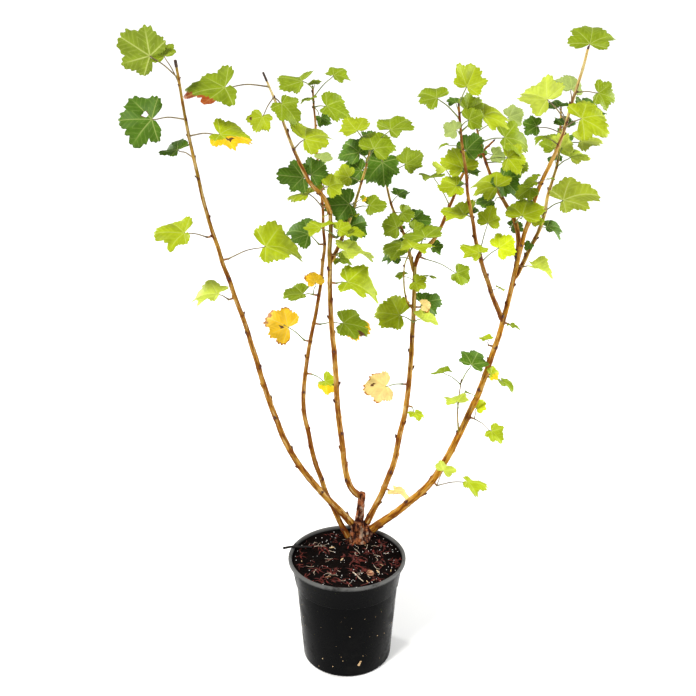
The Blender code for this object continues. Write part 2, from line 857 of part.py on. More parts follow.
def hang_leaf(bush, mass, node, joint, row, rng):
    """A blade and its stalk, turned aside where they would touch a neighbour, or none if no turn helps."""
    _, clock, reach, near, width, lean, _ = row
    width *= FULLNESS
    seed = rng.random()
    others = [tree for owner, tree in bush.foliage if owner != mass]
    others += [tree for owner, tree in bush.wood_trees.items() if owner != mass]
    own = [] if mass in bush.spurs else [bush.wood_trees[mass]]
    for turn, shift in DODGES:
        shape = random.Random(seed)
        frame = leaf_frame(node, clock + turn, reach, near + shift, width, lean, shape)
        rim = blade_rim(width, shape.uniform(0.05, 0.3), shape.uniform(-0.1, 0.5), shape)
        half = max(width * BLADE_THICKNESS, THINNEST_BLADE) / 2
        stalk = make_petiole(joint, frame, width)
        blade_tree = room_of(rim, half, frame)
        stalk_tree = BVHTree.FromBMesh(stalk)
        if not touches(blade_tree, others + own) and not touches(stalk_tree, others):
            return make_blade(rim, half, frame), stalk, blade_tree, stalk_tree
        stalk.free()
    return None


def with_companions(rows, rng):
    """The stated leaves, and in a dense mass, by chance, a smaller one behind a large one."""
    for row in rows:
        yield row
        share, clock, reach, near, width, _, _ = row
        if len(rows) >= DENSE_MASS and width > SMALLEST_PARENT and rng.random() < COMPANION_CHANCE:
            aside = rng.choice((-1, 1)) * rng.uniform(20, 60)
            behind = -abs(near) - COMPANION_BEHIND
            size = COMPANION_SIZE * width
            yield share, clock + aside, COMPANION_REACH * reach, behind, size, COMPANION_LEAN, "dark"


def make_mass(bush, mass, rows, wood, node_of, joint_of):
    """One mass of foliage: its stem or spur, with every leaf that finds room fused to it."""
    rng = random.Random(mass)
    pieces = [wood]
    for row in with_companions(rows, rng):
        hung = hang_leaf(bush, mass, node_of(row[0]), joint_of(row[0]), row, rng)
        if hung is None:
            continue
        blade, stalk, blade_tree, stalk_tree = hung
        pieces += [blade, stalk]
        bush.foliage += [(mass, blade_tree), (mass, stalk_tree)]
    fuse(mass, pieces, leaf_green(rows[0][-1]))


def spur_foot(limb, share, rows):
    """A short spur that leaves the limb's side the usual gap clear, toward its leaves, and its tip."""
    distance = share * limb.length
    heading = limb.heading(distance)
    way = Vector()
    for _, clock, reach, near, *_ in rows:
        angle = math.radians(clock)
        way += SHEET_RIGHT * math.sin(angle) + SHEET_UP * math.cos(angle) + TO_VIEWER * (near / reach)
    way = (way - way.dot(heading) * heading).normalized()
    foot = limb.at(distance) + way * (limb.radius(distance) + GAP)
    tip = foot + way * SPUR_LENGTH
    return tube([foot, tip], [SPUR_RADIUS, SPUR_RADIUS * 0.8], 4), tip - way


def grow_bush():
    """Every limb first, then each mass of leaves round them."""
    bush = Bush()
    for name in LIMBS:
        bush.add_limb(name)
    masses = []
    for name, rows in LEAVES.items():
        limb = bush.limbs[name]
        bare = LIMBS[name][-1]
        leafy = [row for row in rows if row[0] > bare]
        if leafy:
            stem = limb.stretch(max(bare * limb.length + GAP, bush.starts[name]), limb.length)
            masses.append((name + "_leaves", leafy, stem, limb.at_share, limb.at_share))
        for index, share in enumerate(sorted({row[0] for row in rows if row[0] <= bare}), 1):
            mass = f"{name}_spur_{index}"
            spur_rows = [row for row in rows if row[0] == share]
            foot, tip = spur_foot(limb, share, spur_rows)
            bush.spurs.add(mass)
            masses.append((mass, spur_rows, foot, limb.at_share, lambda _, tip=tip: tip))
    for name, piece in [*bush.boughs.items(), *((mass[0], mass[2]) for mass in masses)]:
        bush.wood_trees[name] = BVHTree.FromBMesh(piece)
    for name, piece in bush.boughs.items():
        shade_round(object_from(name, piece, old_bark() if name == "cut_stub" else bark()))
    make_stool([bush.limbs[name] for name in LIMBS if LIMBS[name][0] == "stool"])
    for mass in masses:
        make_mass(bush, *mass)


clear_scene()
make_pot()
make_soil()
grow_bush()
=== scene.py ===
"""Dresses the jostaberry in its pot: ridged bark with buds, lobed and veined leaves, plastic and compost.

Sizes are in millimetres and become metres where a mesh is finished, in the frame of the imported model.
Limbs and leaves follow the plan of the solids, and each leaf takes the place that the solids gave it.
"""

import bisect
import math
import random

import bmesh
import bpy
from mathutils import Matrix, Vector, noise
from mathutils.bvhtree import BVHTree


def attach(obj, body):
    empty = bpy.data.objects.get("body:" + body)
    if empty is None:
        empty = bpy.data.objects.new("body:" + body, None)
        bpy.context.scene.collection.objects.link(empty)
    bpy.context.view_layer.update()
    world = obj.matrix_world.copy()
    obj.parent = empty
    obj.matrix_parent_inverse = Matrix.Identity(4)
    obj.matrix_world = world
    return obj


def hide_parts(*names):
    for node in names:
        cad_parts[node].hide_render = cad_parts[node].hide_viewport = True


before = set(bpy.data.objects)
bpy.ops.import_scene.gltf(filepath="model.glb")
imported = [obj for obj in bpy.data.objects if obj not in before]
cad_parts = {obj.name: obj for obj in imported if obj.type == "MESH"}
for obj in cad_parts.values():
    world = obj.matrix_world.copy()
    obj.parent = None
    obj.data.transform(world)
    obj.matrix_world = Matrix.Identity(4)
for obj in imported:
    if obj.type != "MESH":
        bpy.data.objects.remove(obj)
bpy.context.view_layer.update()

# A millimetre in metres, the gap between the solids, and the distance under which corners become one
MM = 0.001
GAP = 0.3
MERGE = 0.001

# Camera and light
LENS = 56.9
SENSOR = 36
CAMERA_PLACE = (0.0016, -1.523, 1.161)
CAMERA_DOWN = math.radians(22)

# Pot
POT_HEIGHT = 184
RIM_RADIUS = 95
COLLAR_TOP_RADIUS = 90.5
COLLAR_LOW_RADIUS = 84
COLLAR_DEPTH = 45
COLLAR_STEP = 2
LIP_HEIGHT = 6
BODY_LOW_RADIUS = 72
BASE_EDGE = 4
BASE_ROUND = 4.2
RECESS = 0.9
RECESS_RADIUS = 58
ROLL_LOW = 2.4
ROLL_TOP = 2.6
ROLL_INNER = 1.7
WALL = 1.6
FLOOR = 2.0
POT_STEPS = 112
DRAIN_HOLES = 6
DRAIN_RADIUS = 5
DRAIN_CIRCLE = 50
DRAIN_SIDES = 24
SHARP_EDGE = math.radians(40)

# Compost
SOIL_TOP = 177
SOIL_RISE = 3.2
SOIL_RINGS = 52
SOIL_SECTORS = 150
LUMP_WIDTH = 19
CLOD_WIDTH = 7
CRUMB_WIDTH = 3.2
MOUND_WIDTH = 26
PATCH_WIDTH = 24
LITTER_REACH = 86
INNER_REACH = 80
FIBRES = 210
ROOTLETS = 34
CRUMBS = 620
PERLITE = 150
CHIPS = 9
SPECKS = 46
SPECK_FLATNESS = 0.7

# Stool
STOOL_CENTRE = (20, 60)
STOOL_REACH = 17
BASE_VOXEL = 1.1
BASE_SOFTENING = 0.6
FOOT_GRID = (14, 12)
BARK_DEPTH = 0.55

# Canes and twigs
NODE_SPACING = 28
NODE_SHIFT = 0.9
FOOT_FLARE = 0.18
FLARE_LENGTH = 18
RING_STEP = 2.2
CANE_SIDES = 16
TWIG_SIDES = 10
THICKEST_TWIG = 2
STRAIGHT_ON = 14
BUD_SPACING = 30
FIRST_BUD = 6
SMALLEST_BUD = 3.2
LARGEST_BUD = 6.8
LEAFY_BUD = 0.8
BUD_LEAN = 0.35
BUD_SHAPE = (0.34, 0.28, 0.6)
FULL_BARK = 1.04
BARK_LUMPS = 0.07
BARK_RIDGES = 0.03
RING_FADE = 1.9
TIP_SLIMMING = 0.2
SUNK_FOOT = 0.5
SUNK_LENGTH = 9
BUD_SWELLING = 0.22
SWELLING_LENGTH = 2.8
TURN_PER_BUD = math.radians(137.5)
PEG_GRID = (9, 10)

# Leaves
PETIOLE_RADIUS = 1.1
PETIOLE_ARCH = 0.06
THINNEST_STALK = 0.4
STALK_GROWTH = 0.014
STALK_SIDES = 7
STALK_RING_STEP = 4
PINK_STALKS = ("left_cane", "centre_left_fork", "right_cane")
SPUR_RADIUS = 1.6
SPUR_LENGTH = 7
SPUR_SINK = 1.6
SPUR_GRID = (9, 14)
BLADE_THICKNESS = 0.022
THINNEST_BLADE = 1.0
FULLNESS = 1.16
TIP_DROOP = 0.1
LEAF_SWAY = (0.3, 0.15, 0.1)
BLADE_SAG = 0.03
HUB_BACK = 0.13
THINNEST_VIEW = 0.3
LEAF_SKIN = 0.32
LARGE_BLADE = 24
LARGE_GRID = (98, 7)
SMALL_GRID = (50, 5)
RIM_CROWDING = 1.25
HOLE_MARGIN = 1.35
FOUND = 0.1
DENSE_MASS = 6
COMPANION_CHANCE = 0.5
COMPANION_SIZE = 0.55
COMPANION_LEAN = 30
COMPANION_REACH = 0.6
COMPANION_BEHIND = 14
COMPANION_ASIDE = (20, 60)
SMALLEST_PARENT = 34

# Clocks are read on a sheet that faces the viewer and leans back by this angle
SHEET_LEAN = math.radians(22)
SHEET_RIGHT = Vector((1, 0, 0))
SHEET_UP = Vector((0, math.sin(SHEET_LEAN), math.cos(SHEET_LEAN)))
TO_VIEWER = Vector((0, -math.cos(SHEET_LEAN), math.sin(SHEET_LEAN)))

# Each limb: what it grows from, how far along that, the points it passes through, its radius at foot and
# tip, and the share of its length that is a bare bough before its mass of leaves begins.
LIMBS = {
    "cut_stub": ("stool", 0, ((20, 62, 211), (25, 62, 265)), 7.2, 6.8, 1),
    "left_cane": (
        "stool", 0,
        (
            (7, 48, 216), (-71, 40, 318), (-112, 38, 412), (-154, 20, 579), (-190, -8, 723),
            (-212, -40, 859), (-221, -70, 973),
        ),
        5.3, 2.0, 0.80,
    ),
    "back_cane": (
        "stool", 0,
        (
            (2, 46, 190), (-36, 67, 267), (-62, 77, 362), (-69, 92, 444), (-41, 143, 605),
            (-37, 172, 687), (-48, 212, 799), (-54, 240, 891),
        ),
        4.3, 1.8, 0.80,
    ),
    "fourth_cane": (
        "stool", 0,
        (
            (33, 67, 205), (69, 84, 281), (90, 101, 366), (102, 118, 452), (106, 134, 539),
            (108, 150, 626),
        ),
        4.9, 3.7, 1,
    ),
    "right_cane": (
        "stool", 0,
        (
            (41, 56, 199), (94, 54, 244), (148, 48, 311), (199, 40, 437), (230, 30, 556),
            (253, 16, 695), (273, 5, 792), (295, -6, 858), (318, -30, 983),
        ),
        6.1, 2.1, 0.81,
    ),
    "centre_cane": (
        "cut_stub", 0.8,
        ((4, 59, 281), (-10, 57, 376), (-19, 51, 499), (-25, 40, 622), (-24, 25, 745)),
        4.8, 3.6, 1,
    ),
    "centre_left_fork": (
        "centre_cane", 1,
        ((-53, 14, 794), (-75, 1, 846), (-92, -14, 900), (-111, -30, 952)),
        3.3, 1.5, 0.36,
    ),
    "centre_right_fork": (
        "centre_cane", 0.84,
        ((-2, 47, 716), (13, 66, 750), (24, 87, 785), (34, 110, 818)),
        2.9, 1.6, 0.42,
    ),
    "fourth_right_fork": (
        "fourth_cane", 1,
        ((140, 146, 675), (161, 140, 731), (182, 132, 787), (219, 120, 831)),
        3.3, 1.7, 0.42,
    ),
    "fourth_left_fork": (
        "fourth_cane", 0.97,
        ((92, 161, 672), (73, 175, 711), (62, 191, 751), (54, 210, 791)),
        2.9, 1.6, 0,
    ),
    "side_twig": (
        "fourth_cane", 0.84,
        ((93, 115, 584), (90, 106, 612), (88, 100, 640), (97, 95, 668)),
        1.5, 1.1, 0,
    ),
    "right_left_branch": (
        "right_cane", 0.51,
        ((195, -12, 677), (173, -45, 759), (156, -79, 841), (142, -115, 923)),
        3.5, 1.7, 0.12,
    ),
    "right_inner_branch": (
        "right_cane", 0.63,
        ((246, 25, 729), (218, 32, 775), (199, 40, 817), (186, 50, 861)),
        3.7, 1.7, 0.15,
    ),
    "right_side_branch": (
        "right_cane", 0.59,
        ((279, 35, 712), (297, 60, 767), (312, 87, 823), (316, 115, 880)),
        3.3, 1.6, 0.18,
    ),
    "low_shoot": ("right_cane", 0.27, ((174, 30, 414), (173, 26, 444), (175, 20, 483)), 1.4, 0.9, 0),
}

# Leaves of each limb: share along it, clock and reach of the blade's middle, how far it stands toward
# the viewer, the blade's width, how many degrees its face leans toward the viewer from lying flat, and
# its tint. Leaves with one share on a bare bough grow from one spur.
# The dark tint is partly painted shade, for leaves behind others and inside the masses.
LEAVES = {
    "left_cane": (
        (0.97, 306, 62, 24, 60, -85, "mid"),
        (0.96, 332, 50, 10, 32, 60, "mid"),
        (0.90, 273, 67, -10, 62, 60, "dark"),
        (0.87, 90, 60, 12, 52, 40, "yellow"),
        (0.83, 300, 40, -22, 38, 25, "dark"),
        (0.68, 274, 58, 8, 53, 40, "lime"),
        (0.63, 74, 88, 10, 64, 40, "lime"),
        (0.55, 280, 42, 12, 56, 8, "pale"),
    ),
    "back_cane": (
        (1.00, 290, 34, 14, 54, 18, "mid"),
        (0.99, 10, 20, -8, 18, 25, "mid"),
        (0.98, 42, 60, -6, 36, 45, "mid"),
        (0.96, 94, 36, 16, 48, 25, "mid"),
        (0.97, 300, 12, 12, 26, 15, "mid"),
        (0.84, 50, 14, 20, 26, 40, "grey"),
        (0.67, 300, 44, 12, 46, 50, "dark"),
        (0.56, 345, 30, 14, 28, 60, "orange"),
        (0.56, 276, 40, -8, 42, 25, "mid"),
        (0.50, 90, 66, 0, 58, 30, "tipped"),
        (0.46, 303, 60, 14, 54, 60, "orange"),
        (0.39, 113, 44, -12, 34, 40, "yellow"),
    ),
    "centre_cane": (
        (0.93, 305, 26, 24, 40, 10, "lime"),
        (0.93, 60, 22, 24, 24, 60, "lime"),
        (0.93, 85, 38, 14, 34, 15, "lime"),
        (0.93, 60, 46, -24, 42, 45, "dark"),
        (0.87, 81, 40, 20, 54, 0, "pale"),
        (0.87, 105, 24, -14, 27, 20, "mid"),
        (0.78, 90, 46, 14, 60, 22, "lime"),
    ),
    "centre_left_fork": (
        (0.91, 267, 80, 8, 66, 22, "red"),
        (0.84, 208, 40, 10, 30, 50, "lime"),
        (0.84, 125, 24, -2, 36, 50, "mid"),
        (0.49, 55, 36, 10, 52, 35, "lime"),
        (0.29, 280, 20, -8, 42, 60, "dark"),
        (0.29, 45, 20, -12, 36, 60, "dark"),
        (0.16, 60, 26, 8, 32, 50, "lime"),
        (0.16, 20, 24, -8, 20, 50, "dark"),
        (0.05, 304, 46, -4, 52, 12, "lime"),
    ),
    "centre_right_fork": (
        (1.00, 325, 45, 10, 44, 25, "lime"),
        (1.00, 46, 58, 12, 48, 48, "mid"),
        (0.92, 318, 34, -16, 46, 55, "dark"),
        (0.89, 28, 38, 12, 48, 60, "mid"),
        (0.84, 275, 18, -18, 36, 60, "dark"),
        (0.72, 290, 30, 12, 32, 60, "lime"),
        (0.53, 60, 16, 14, 10, 60, "yellow"),
        (0.52, 270, 22, 16, 44, 60, "dark"),
        (0.49, 80, 36, 8, 36, 40, "mid"),
        (0.36, 310, 30, -10, 27, 0, "yellow"),
        (0.36, 35, 18, 12, 16, 30, "mid"),
    ),
    "fourth_cane": (
        (0.94, 300, 27, 8, 20, 10, "mid"),
        (0.94, 65, 27, 10, 21, 0, "mid"),
        (0.94, 110, 9, 14, 28, 55, "lime"),
        (0.85, 68, 30, -18, 40, 40, "dark"),
        (0.85, 80, 20, 14, 19, 60, "straw"),
        (0.80, 290, 42, 8, 56, 40, "lime"),
        (0.80, 80, 24, 18, 40, 5, "pale"),
        (0.56, 266, 54, 10, 48, 50, "straw"),
        (0.48, 130, 22, 8, 24, 0, "lime"),
        (0.15, 104, 28, 6, 36, 5, "straw"),
    ),
    "side_twig": ((1.00, 40, 16, 14, 48, 20, "lime"),),
    "fourth_left_fork": (
        (0.96, 175, 20, 16, 50, 50, "dark"),
        (0.81, 57, 50, 8, 38, 45, "mid"),
        (0.60, 38, 27, -8, 28, 40, "dark"),
        (0.52, 95, 20, 10, 27, 60, "mid"),
        (0.46, 88, 36, -6, 34, 45, "dark"),
        (0.36, 295, 22, 12, 35, 60, "mid"),
        (0.33, 60, 24, 12, 22, 45, "mid"),
        (0.31, 70, 42, -8, 26, 25, "dark"),
        (0.23, 270, 22, 20, 40, 15, "mid"),
        (0.12, 287, 32, -10, 34, 30, "dark"),
    ),
    "fourth_right_fork": (
        (0.96, 250, 14, -14, 20, 60, "dark"),
        (0.69, 240, 20, 10, 27, 20, "dark"),
        (0.48, 328, 58, 6, 36, 20, "mid"),
        (0.14, 350, 26, 28, 54, 20, "mid"),
        (0.14, 80, 22, -12, 24, 35, "dark"),
        (0.07, 114, 76, 4, 32, 60, "mid"),
        (0.60, 335, 44, -16, 34, 25, "pale"),
    ),
    "right_left_branch": (
        (1.00, 22, 38, 8, 40, 60, "lime"),
        (0.97, 55, 24, -12, 32, 60, "mid"),
        (0.95, 309, 51, 6, 38, 38, "mid"),
        (0.92, 60, 20, 14, 27, 60, "mid"),
        (0.90, 57, 49, 4, 50, 35, "lime"),
        (0.88, 300, 18, 16, 22, 60, "grey"),
        (0.83, 280, 26, 6, 13, 10, "mid"),
        (0.81, 40, 20, -12, 34, 60, "dark"),
        (0.70, 340, 30, 0, 42, 55, "lime"),
        (0.68, 264, 24, -8, 33, 25, "lime"),
        (0.53, 288, 26, -4, 46, 20, "lime"),
        (0.36, 14, 56, 6, 32, 60, "lime"),
        (0.34, 300, 18, 36, 34, 25, "lime"),
        (0.32, 51, 42, 8, 34, 60, "bright"),
        (0.17, 70, 16, 6, 13, 0, "pale"),
    ),
    "right_inner_branch": (
        (0.99, 65, 60, -4, 28, 60, "grey"),
        (0.91, 82, 49, 10, 46, 35, "mid"),
        (0.83, 90, 24, -10, 24, 60, "grey"),
        (0.78, 90, 42, 18, 38, 60, "lime"),
        (0.76, 92, 48, -10, 30, 60, "mid"),
        (0.68, 120, 32, 6, 45, 45, "dark"),
        (0.48, 315, 34, 22, 52, 40, "lime"),
        (0.27, 20, 20, 44, 46, 42, "lime"),
    ),
    "right_cane": (
        (0.97, 13, 48, 6, 52, 55, "mid"),
        (0.93, 95, 40, 8, 32, 60, "mid"),
        (0.91, 5, 36, -14, 33, 60, "grey"),
        (0.90, 80, 34, -12, 43, 35, "dark"),
        (0.88, 313, 58, 10, 55, 42, "pale"),
        (0.87, 68, 36, 28, 56, 42, "lime"),
        (0.86, 290, 46, -10, 28, 60, "dark"),
        (0.84, 295, 28, 6, 22, 20, "mid"),
        (0.77, 275, 18, 12, 21, 35, "mid"),
        (0.77, 320, 14, 8, 11, 35, "mid"),
        (0.77, 65, 14, 8, 10, 0, "mid"),
        (0.77, 245, 24, -2, 28, 30, "mid"),
        (0.62, 94, 36, 8, 38, 0, "pale"),
        (0.51, 110, 18, 6, 18, 5, "mid"),
        (0.46, 312, 22, 6, 20, 10, "lime"),
        (0.40, 70, 14, 12, 20, 60, "yellow"),
        (0.40, 108, 36, -4, 30, 0, "mid"),
        (0.31, 47, 28, 0, 24, 50, "bright"),
        (0.31, 121, 52, 4, 28, 35, "lime"),
        (0.16, 36, 33, 32, 30, 30, "pale"),
        (0.16, 92, 68, 6, 38, 0, "lime"),
    ),
    "right_side_branch": (
        (0.79, 80, 46, 8, 48, 22, "pale"),
        (0.71, 10, 28, 14, 32, 60, "pale"),
        (0.71, 350, 32, -12, 34, 60, "mid"),
        (0.67, 55, 34, 8, 38, 30, "pale"),
        (0.42, 59, 51, 10, 64, -75, "lime"),
        (0.41, 225, 18, 8, 18, 60, "lime"),
        (0.32, 72, 24, -16, 32, 25, "dark"),
        (0.26, 225, 16, 8, 14, 40, "dark"),
    ),
    "low_shoot": (
        (0.98, 28, 44, 6, 42, 40, "dark"),
        (0.94, 305, 40, 6, 28, 5, "mid"),
        (0.64, 50, 24, -4, 17, -5, "mid"),
        (0.55, 334, 20, 24, 34, 20, "pale"),
    ),
}

# Turns in degrees and shifts in millimetres that keep a small leaf behind a large one off its neighbours
DODGES = tuple((turn, shift) for shift in (0, 9, -9, 18, -18) for turn in (0, 12, -12, 26, -26, 42, -42))

# The rim of a blade about its foot, where the main veins meet: degrees from the tip, and distance in
# shares of the width. The foot lies FOOT_BACK of the width behind the blade's middle.
BLADE_RIM = (
    (0, 0.73), (15, 0.715), (26, 0.62), (35, 0.575), (47, 0.64), (58, 0.62),
    (70, 0.52), (80, 0.47), (92, 0.485), (106, 0.46), (124, 0.35), (146, 0.12),
)
RIM_SPREAD = 146
FOOT_BACK = 0.15
VEIN_ANGLES = (-104, -49, 0, 49, 104)
TOOTH_ANGLE = 11
TOOTH_DEPTH = 0.09
SIDE_VEIN_SPACING = 0.115
RIB_DEPTH = 0.0035
LOBE_HALF = 25
SIDE_VEIN_EDGE = (0.011, 0.002)
SIDE_VEIN_STRENGTH = 0.35
MAIN_VEIN_EDGE = (0.017, 0.006)

# Tints of two colours: the colour of the blade, the second colour, and where on the blade that lies
TWO_COLOURED = {
    "straw": ("straw", "rust", "rim"),
    "orange": ("orange", "rust", "rim"),
    "yellow": ("lime", "gold", "half"),
    "tipped": ("mid", "orange", "rim"),
    "red": ("mid", "scarlet", "lobe"),
}

# Leaf colours, upper side and underside. From dark to bright the greens are partly the leaves' own colour
# and partly painted light and shade: dark for leaves behind others and inside the masses, lime and paler for
# lit leaves at the front.
LEAF_COLOURS = {
    "dark": ((0.072, 0.155, 0.008), (0.130, 0.210, 0.018)),
    "mid": ((0.200, 0.275, 0.005), (0.200, 0.270, 0.018)),
    "lime": ((0.330, 0.405, 0.006), (0.320, 0.390, 0.026)),
    "pale": ((0.430, 0.510, 0.050), (0.420, 0.500, 0.100)),
    "grey": ((0.300, 0.380, 0.100), (0.360, 0.430, 0.160)),
    "bright": ((0.560, 0.660, 0.008), (0.520, 0.620, 0.040)),
    "gold": ((0.780, 0.500, 0.006), (0.700, 0.510, 0.050)),
    "orange": ((0.760, 0.460, 0.014), (0.700, 0.440, 0.060)),
    "straw": ((0.700, 0.520, 0.190), (0.680, 0.520, 0.220)),
    "rust": ((0.400, 0.150, 0.014), (0.420, 0.200, 0.050)),
    "scarlet": ((0.330, 0.070, 0.010), (0.320, 0.110, 0.026)),
    "brown": ((0.110, 0.045, 0.014), (0.140, 0.070, 0.030)),
}
VEIN_COLOUR = (0.68, 0.74, 0.24)

# Marks on single leaves, by limb, share and clock: the kind, its place across and along, and its radius,
# in shares of the blade's width
LEAF_MARKS = {
    ("left_cane", 0.90, 273): ("hole", 0.10, -0.02, 0.055),
    ("left_cane", 0.87, 90): ("spot", 0.18, 0.10, 0.07),
    ("back_cane", 0.50, 90): ("spot", 0.20, 0.30, 0.08),
    ("back_cane", 0.46, 303): ("spot", -0.04, -0.02, 0.06),
    ("fourth_cane", 0.56, 266): ("spot", 0.10, 0.20, 0.05),
    ("centre_left_fork", 0.84, 208): ("spot", 0.34, 0.12, 0.07),
}

# Colours of the bark at the limb's foot, at its tip and at its nodes, how much of it peels, and between
# which shares of the limb its tone changes
BARKS = {
    "tan_bark": ((0.290, 0.122, 0.010), (0.200, 0.135, 0.012), (0.050, 0.008, 0.003), 0.50, (0.5, 1.0)),
    "red_bark": ((0.400, 0.175, 0.010), (0.560, 0.450, 0.180), (0.050, 0.007, 0.003), 0.35, (0.78, 0.9)),
    "rust_bark": ((0.220, 0.088, 0.007), (0.230, 0.092, 0.008), (0.050, 0.007, 0.003), 0.25, (0.25, 1.0)),
    "pale_bark": ((0.310, 0.140, 0.014), (0.440, 0.330, 0.080), (0.055, 0.010, 0.004), 0.60, (-0.2, 0.6)),
    "silver_bark": ((0.330, 0.140, 0.010), (0.560, 0.460, 0.200), (0.055, 0.010, 0.004), 0.75, (0.35, 0.6)),
    "green_bark": ((0.200, 0.170, 0.014), (0.240, 0.260, 0.020), (0.080, 0.040, 0.010), 0.20, (0.25, 1.0)),
}
WORN_BARK = (0.500, 0.290, 0.052)
STAINED_BARK = (0.110, 0.018, 0.002)
PEELED_BARK = (0.660, 0.510, 0.230)
STOOL_DEEP = (0.020, 0.002, 0.001)
STOOL_LIGHT = (0.330, 0.105, 0.036)
STOOL_CRACK = (0.014, 0.003, 0.002)
STOOL_CRUST = (0.520, 0.390, 0.280)
PLASTIC_BLACK = (0.0013, 0.0014, 0.0016)
PLASTIC_FILM = (0.034, 0.032, 0.027)
PLASTIC_SCUFF = (0.030, 0.031, 0.032)
PLASTIC_DUST = (0.110, 0.095, 0.070)
PLASTIC_RIM_HIGHLIGHT = (0.120, 0.120, 0.117)

# Finishes of two tones: the tones, the size of their grain in millimetres, and their roughness
GRAINED = {
    "bud_scales": ((0.022, 0.007, 0.006), (0.110, 0.030, 0.016), 1.6, 0.55),
    "dead_wood": ((0.020, 0.012, 0.010), (0.080, 0.045, 0.030), 3, 0.75),
    "green_stalk": ((0.090, 0.120, 0.028), (0.210, 0.240, 0.060), 9, 0.5),
    "pink_stalk": ((0.120, 0.085, 0.045), (0.230, 0.180, 0.085), 9, 0.5),
    "spur_bark": ((0.160, 0.070, 0.028), (0.360, 0.190, 0.070), 2.2, 0.6),
    "red_fibre": ((0.024, 0.004, 0.003), (0.150, 0.017, 0.010), 5, 0.75),
    "root_skin": ((0.320, 0.240, 0.170), (0.640, 0.540, 0.420), 5, 0.75),
    "tan_chip": ((0.420, 0.260, 0.120), (0.720, 0.540, 0.320), 4, 0.7),
    "brown_chip": ((0.230, 0.095, 0.050), (0.480, 0.260, 0.140), 4, 0.7),
    "perlite": ((0.560, 0.540, 0.500), (0.880, 0.870, 0.840), 1.5, 0.85),
    "black_stick": ((0.004, 0.003, 0.003), (0.014, 0.011, 0.010), 3, 0.6),
}

# The compost's low and high tone
COMPOSTS = {
    "compost": ((0.0012, 0.0007, 0.0006), (0.0062, 0.0024, 0.0017)),
    "compost_crumb": ((0.0018, 0.0009, 0.0007), (0.0130, 0.0040, 0.0026)),
}

# Limbs whose bark isn't tan
LIMB_BARK = {
    "back_cane": "rust_bark",
    "right_cane": "red_bark",
    "right_left_branch": "rust_bark",
    "right_inner_branch": "rust_bark",
    "fourth_right_fork": "rust_bark",
    "centre_left_fork": "silver_bark",
    "centre_right_fork": "pale_bark",
    "fourth_left_fork": "pale_bark",
    "right_side_branch": "pale_bark",
    "low_shoot": "green_bark",
    "side_twig": "green_bark",
}

# Limbs that end in dead wood, with its length
DEAD_TIPS = {"left_cane": 8, "centre_left_fork": 12}

# Dead snags: the limb, the share along it, the clock they point to, their length and their radius
PEGS = (
    ("centre_cane", 0.985, 10, 11, 1.1),
    ("centre_cane", 0.42, 300, 5, 1.0),
    ("right_cane", 0.625, 335, 17, 2.9),
    ("left_cane", 0.79, 300, 5, 0.9),
    ("fourth_cane", 0.98, 350, 7, 1.2),
    ("right_left_branch", 0.55, 70, 5, 0.8),
)

# The pale twig near the pot's front, the larger chips by place, turn in degrees, length and width, the
# stick that lies over the rim, and the small lumps by piece, finish, count, sizes, rise and flatness
PALE_TWIG = ((9.5, -40), (15, -49), (20, -58), (25.5, -66))
LARGE_CHIPS = (
    ((37, -42), 20, 11, 14),
    ((-30, -52), 15, 9, 3.0),
)
STICK = ((-58, 30, 181), (-78, 25, 184.5), (-91, 20, 187.8), (-104, 15, 188.2))
LUMPS = (
    ("compost_crumbs", "compost_crumb", CRUMBS, (0.6, 1.9), 0.2, 0.7),
    ("perlite", "perlite", PERLITE, (0.35, 0.95), 0.5, 0.9),
)

# Larger specks low on the pot's front: angle in degrees, height and size
FRONT_SPECKS = (
    (-75, 24, 2.2), (-74.2, 27, 2.5), (-73.4, 30, 2.2),
    (-108, 20, 1.1), (-122, 30, 1.0), (-95, 34, 0.8), (-70, 41, 0.9),
)

# Stage in millimetres, and light in metres: the sky, the sun, and the panels by place, size and power
FLOOR_REACH = 30000
FLOOR_DROP = 0.4
WORLD_LIGHT = 0.55
LIGHT_AIM = (0, 0, 0.4)
SUN_PLACE = (-1.5, -1.9, 3.2)
SUN_POWER = 3.2
SUN_WIDTH = 14
SUN_COLOUR = (1.0, 0.98, 0.94)
PANELS = (
    ("right_panel", (2.4, 0.4, 0.9), (0.9, 1.6), 78),
    ("left_panel", (-2.3, 1.5, 0.9), (0.5, 1.6), 64),
)


class Wire:
    """The output of a shader node, on which sums are written as plain expressions."""

    def __init__(self, finish, socket):
        self.finish = finish
        self.socket = socket

    def __add__(self, other):
        return self.finish.maths("ADD", self, other)

    def __sub__(self, other):
        return self.finish.maths("SUBTRACT", self, other)

    def __rsub__(self, other):
        return self.finish.maths("SUBTRACT", other, self)

    def __mul__(self, other):
        return self.finish.maths("MULTIPLY", self, other)

    __radd__ = __add__
    __rmul__ = __mul__


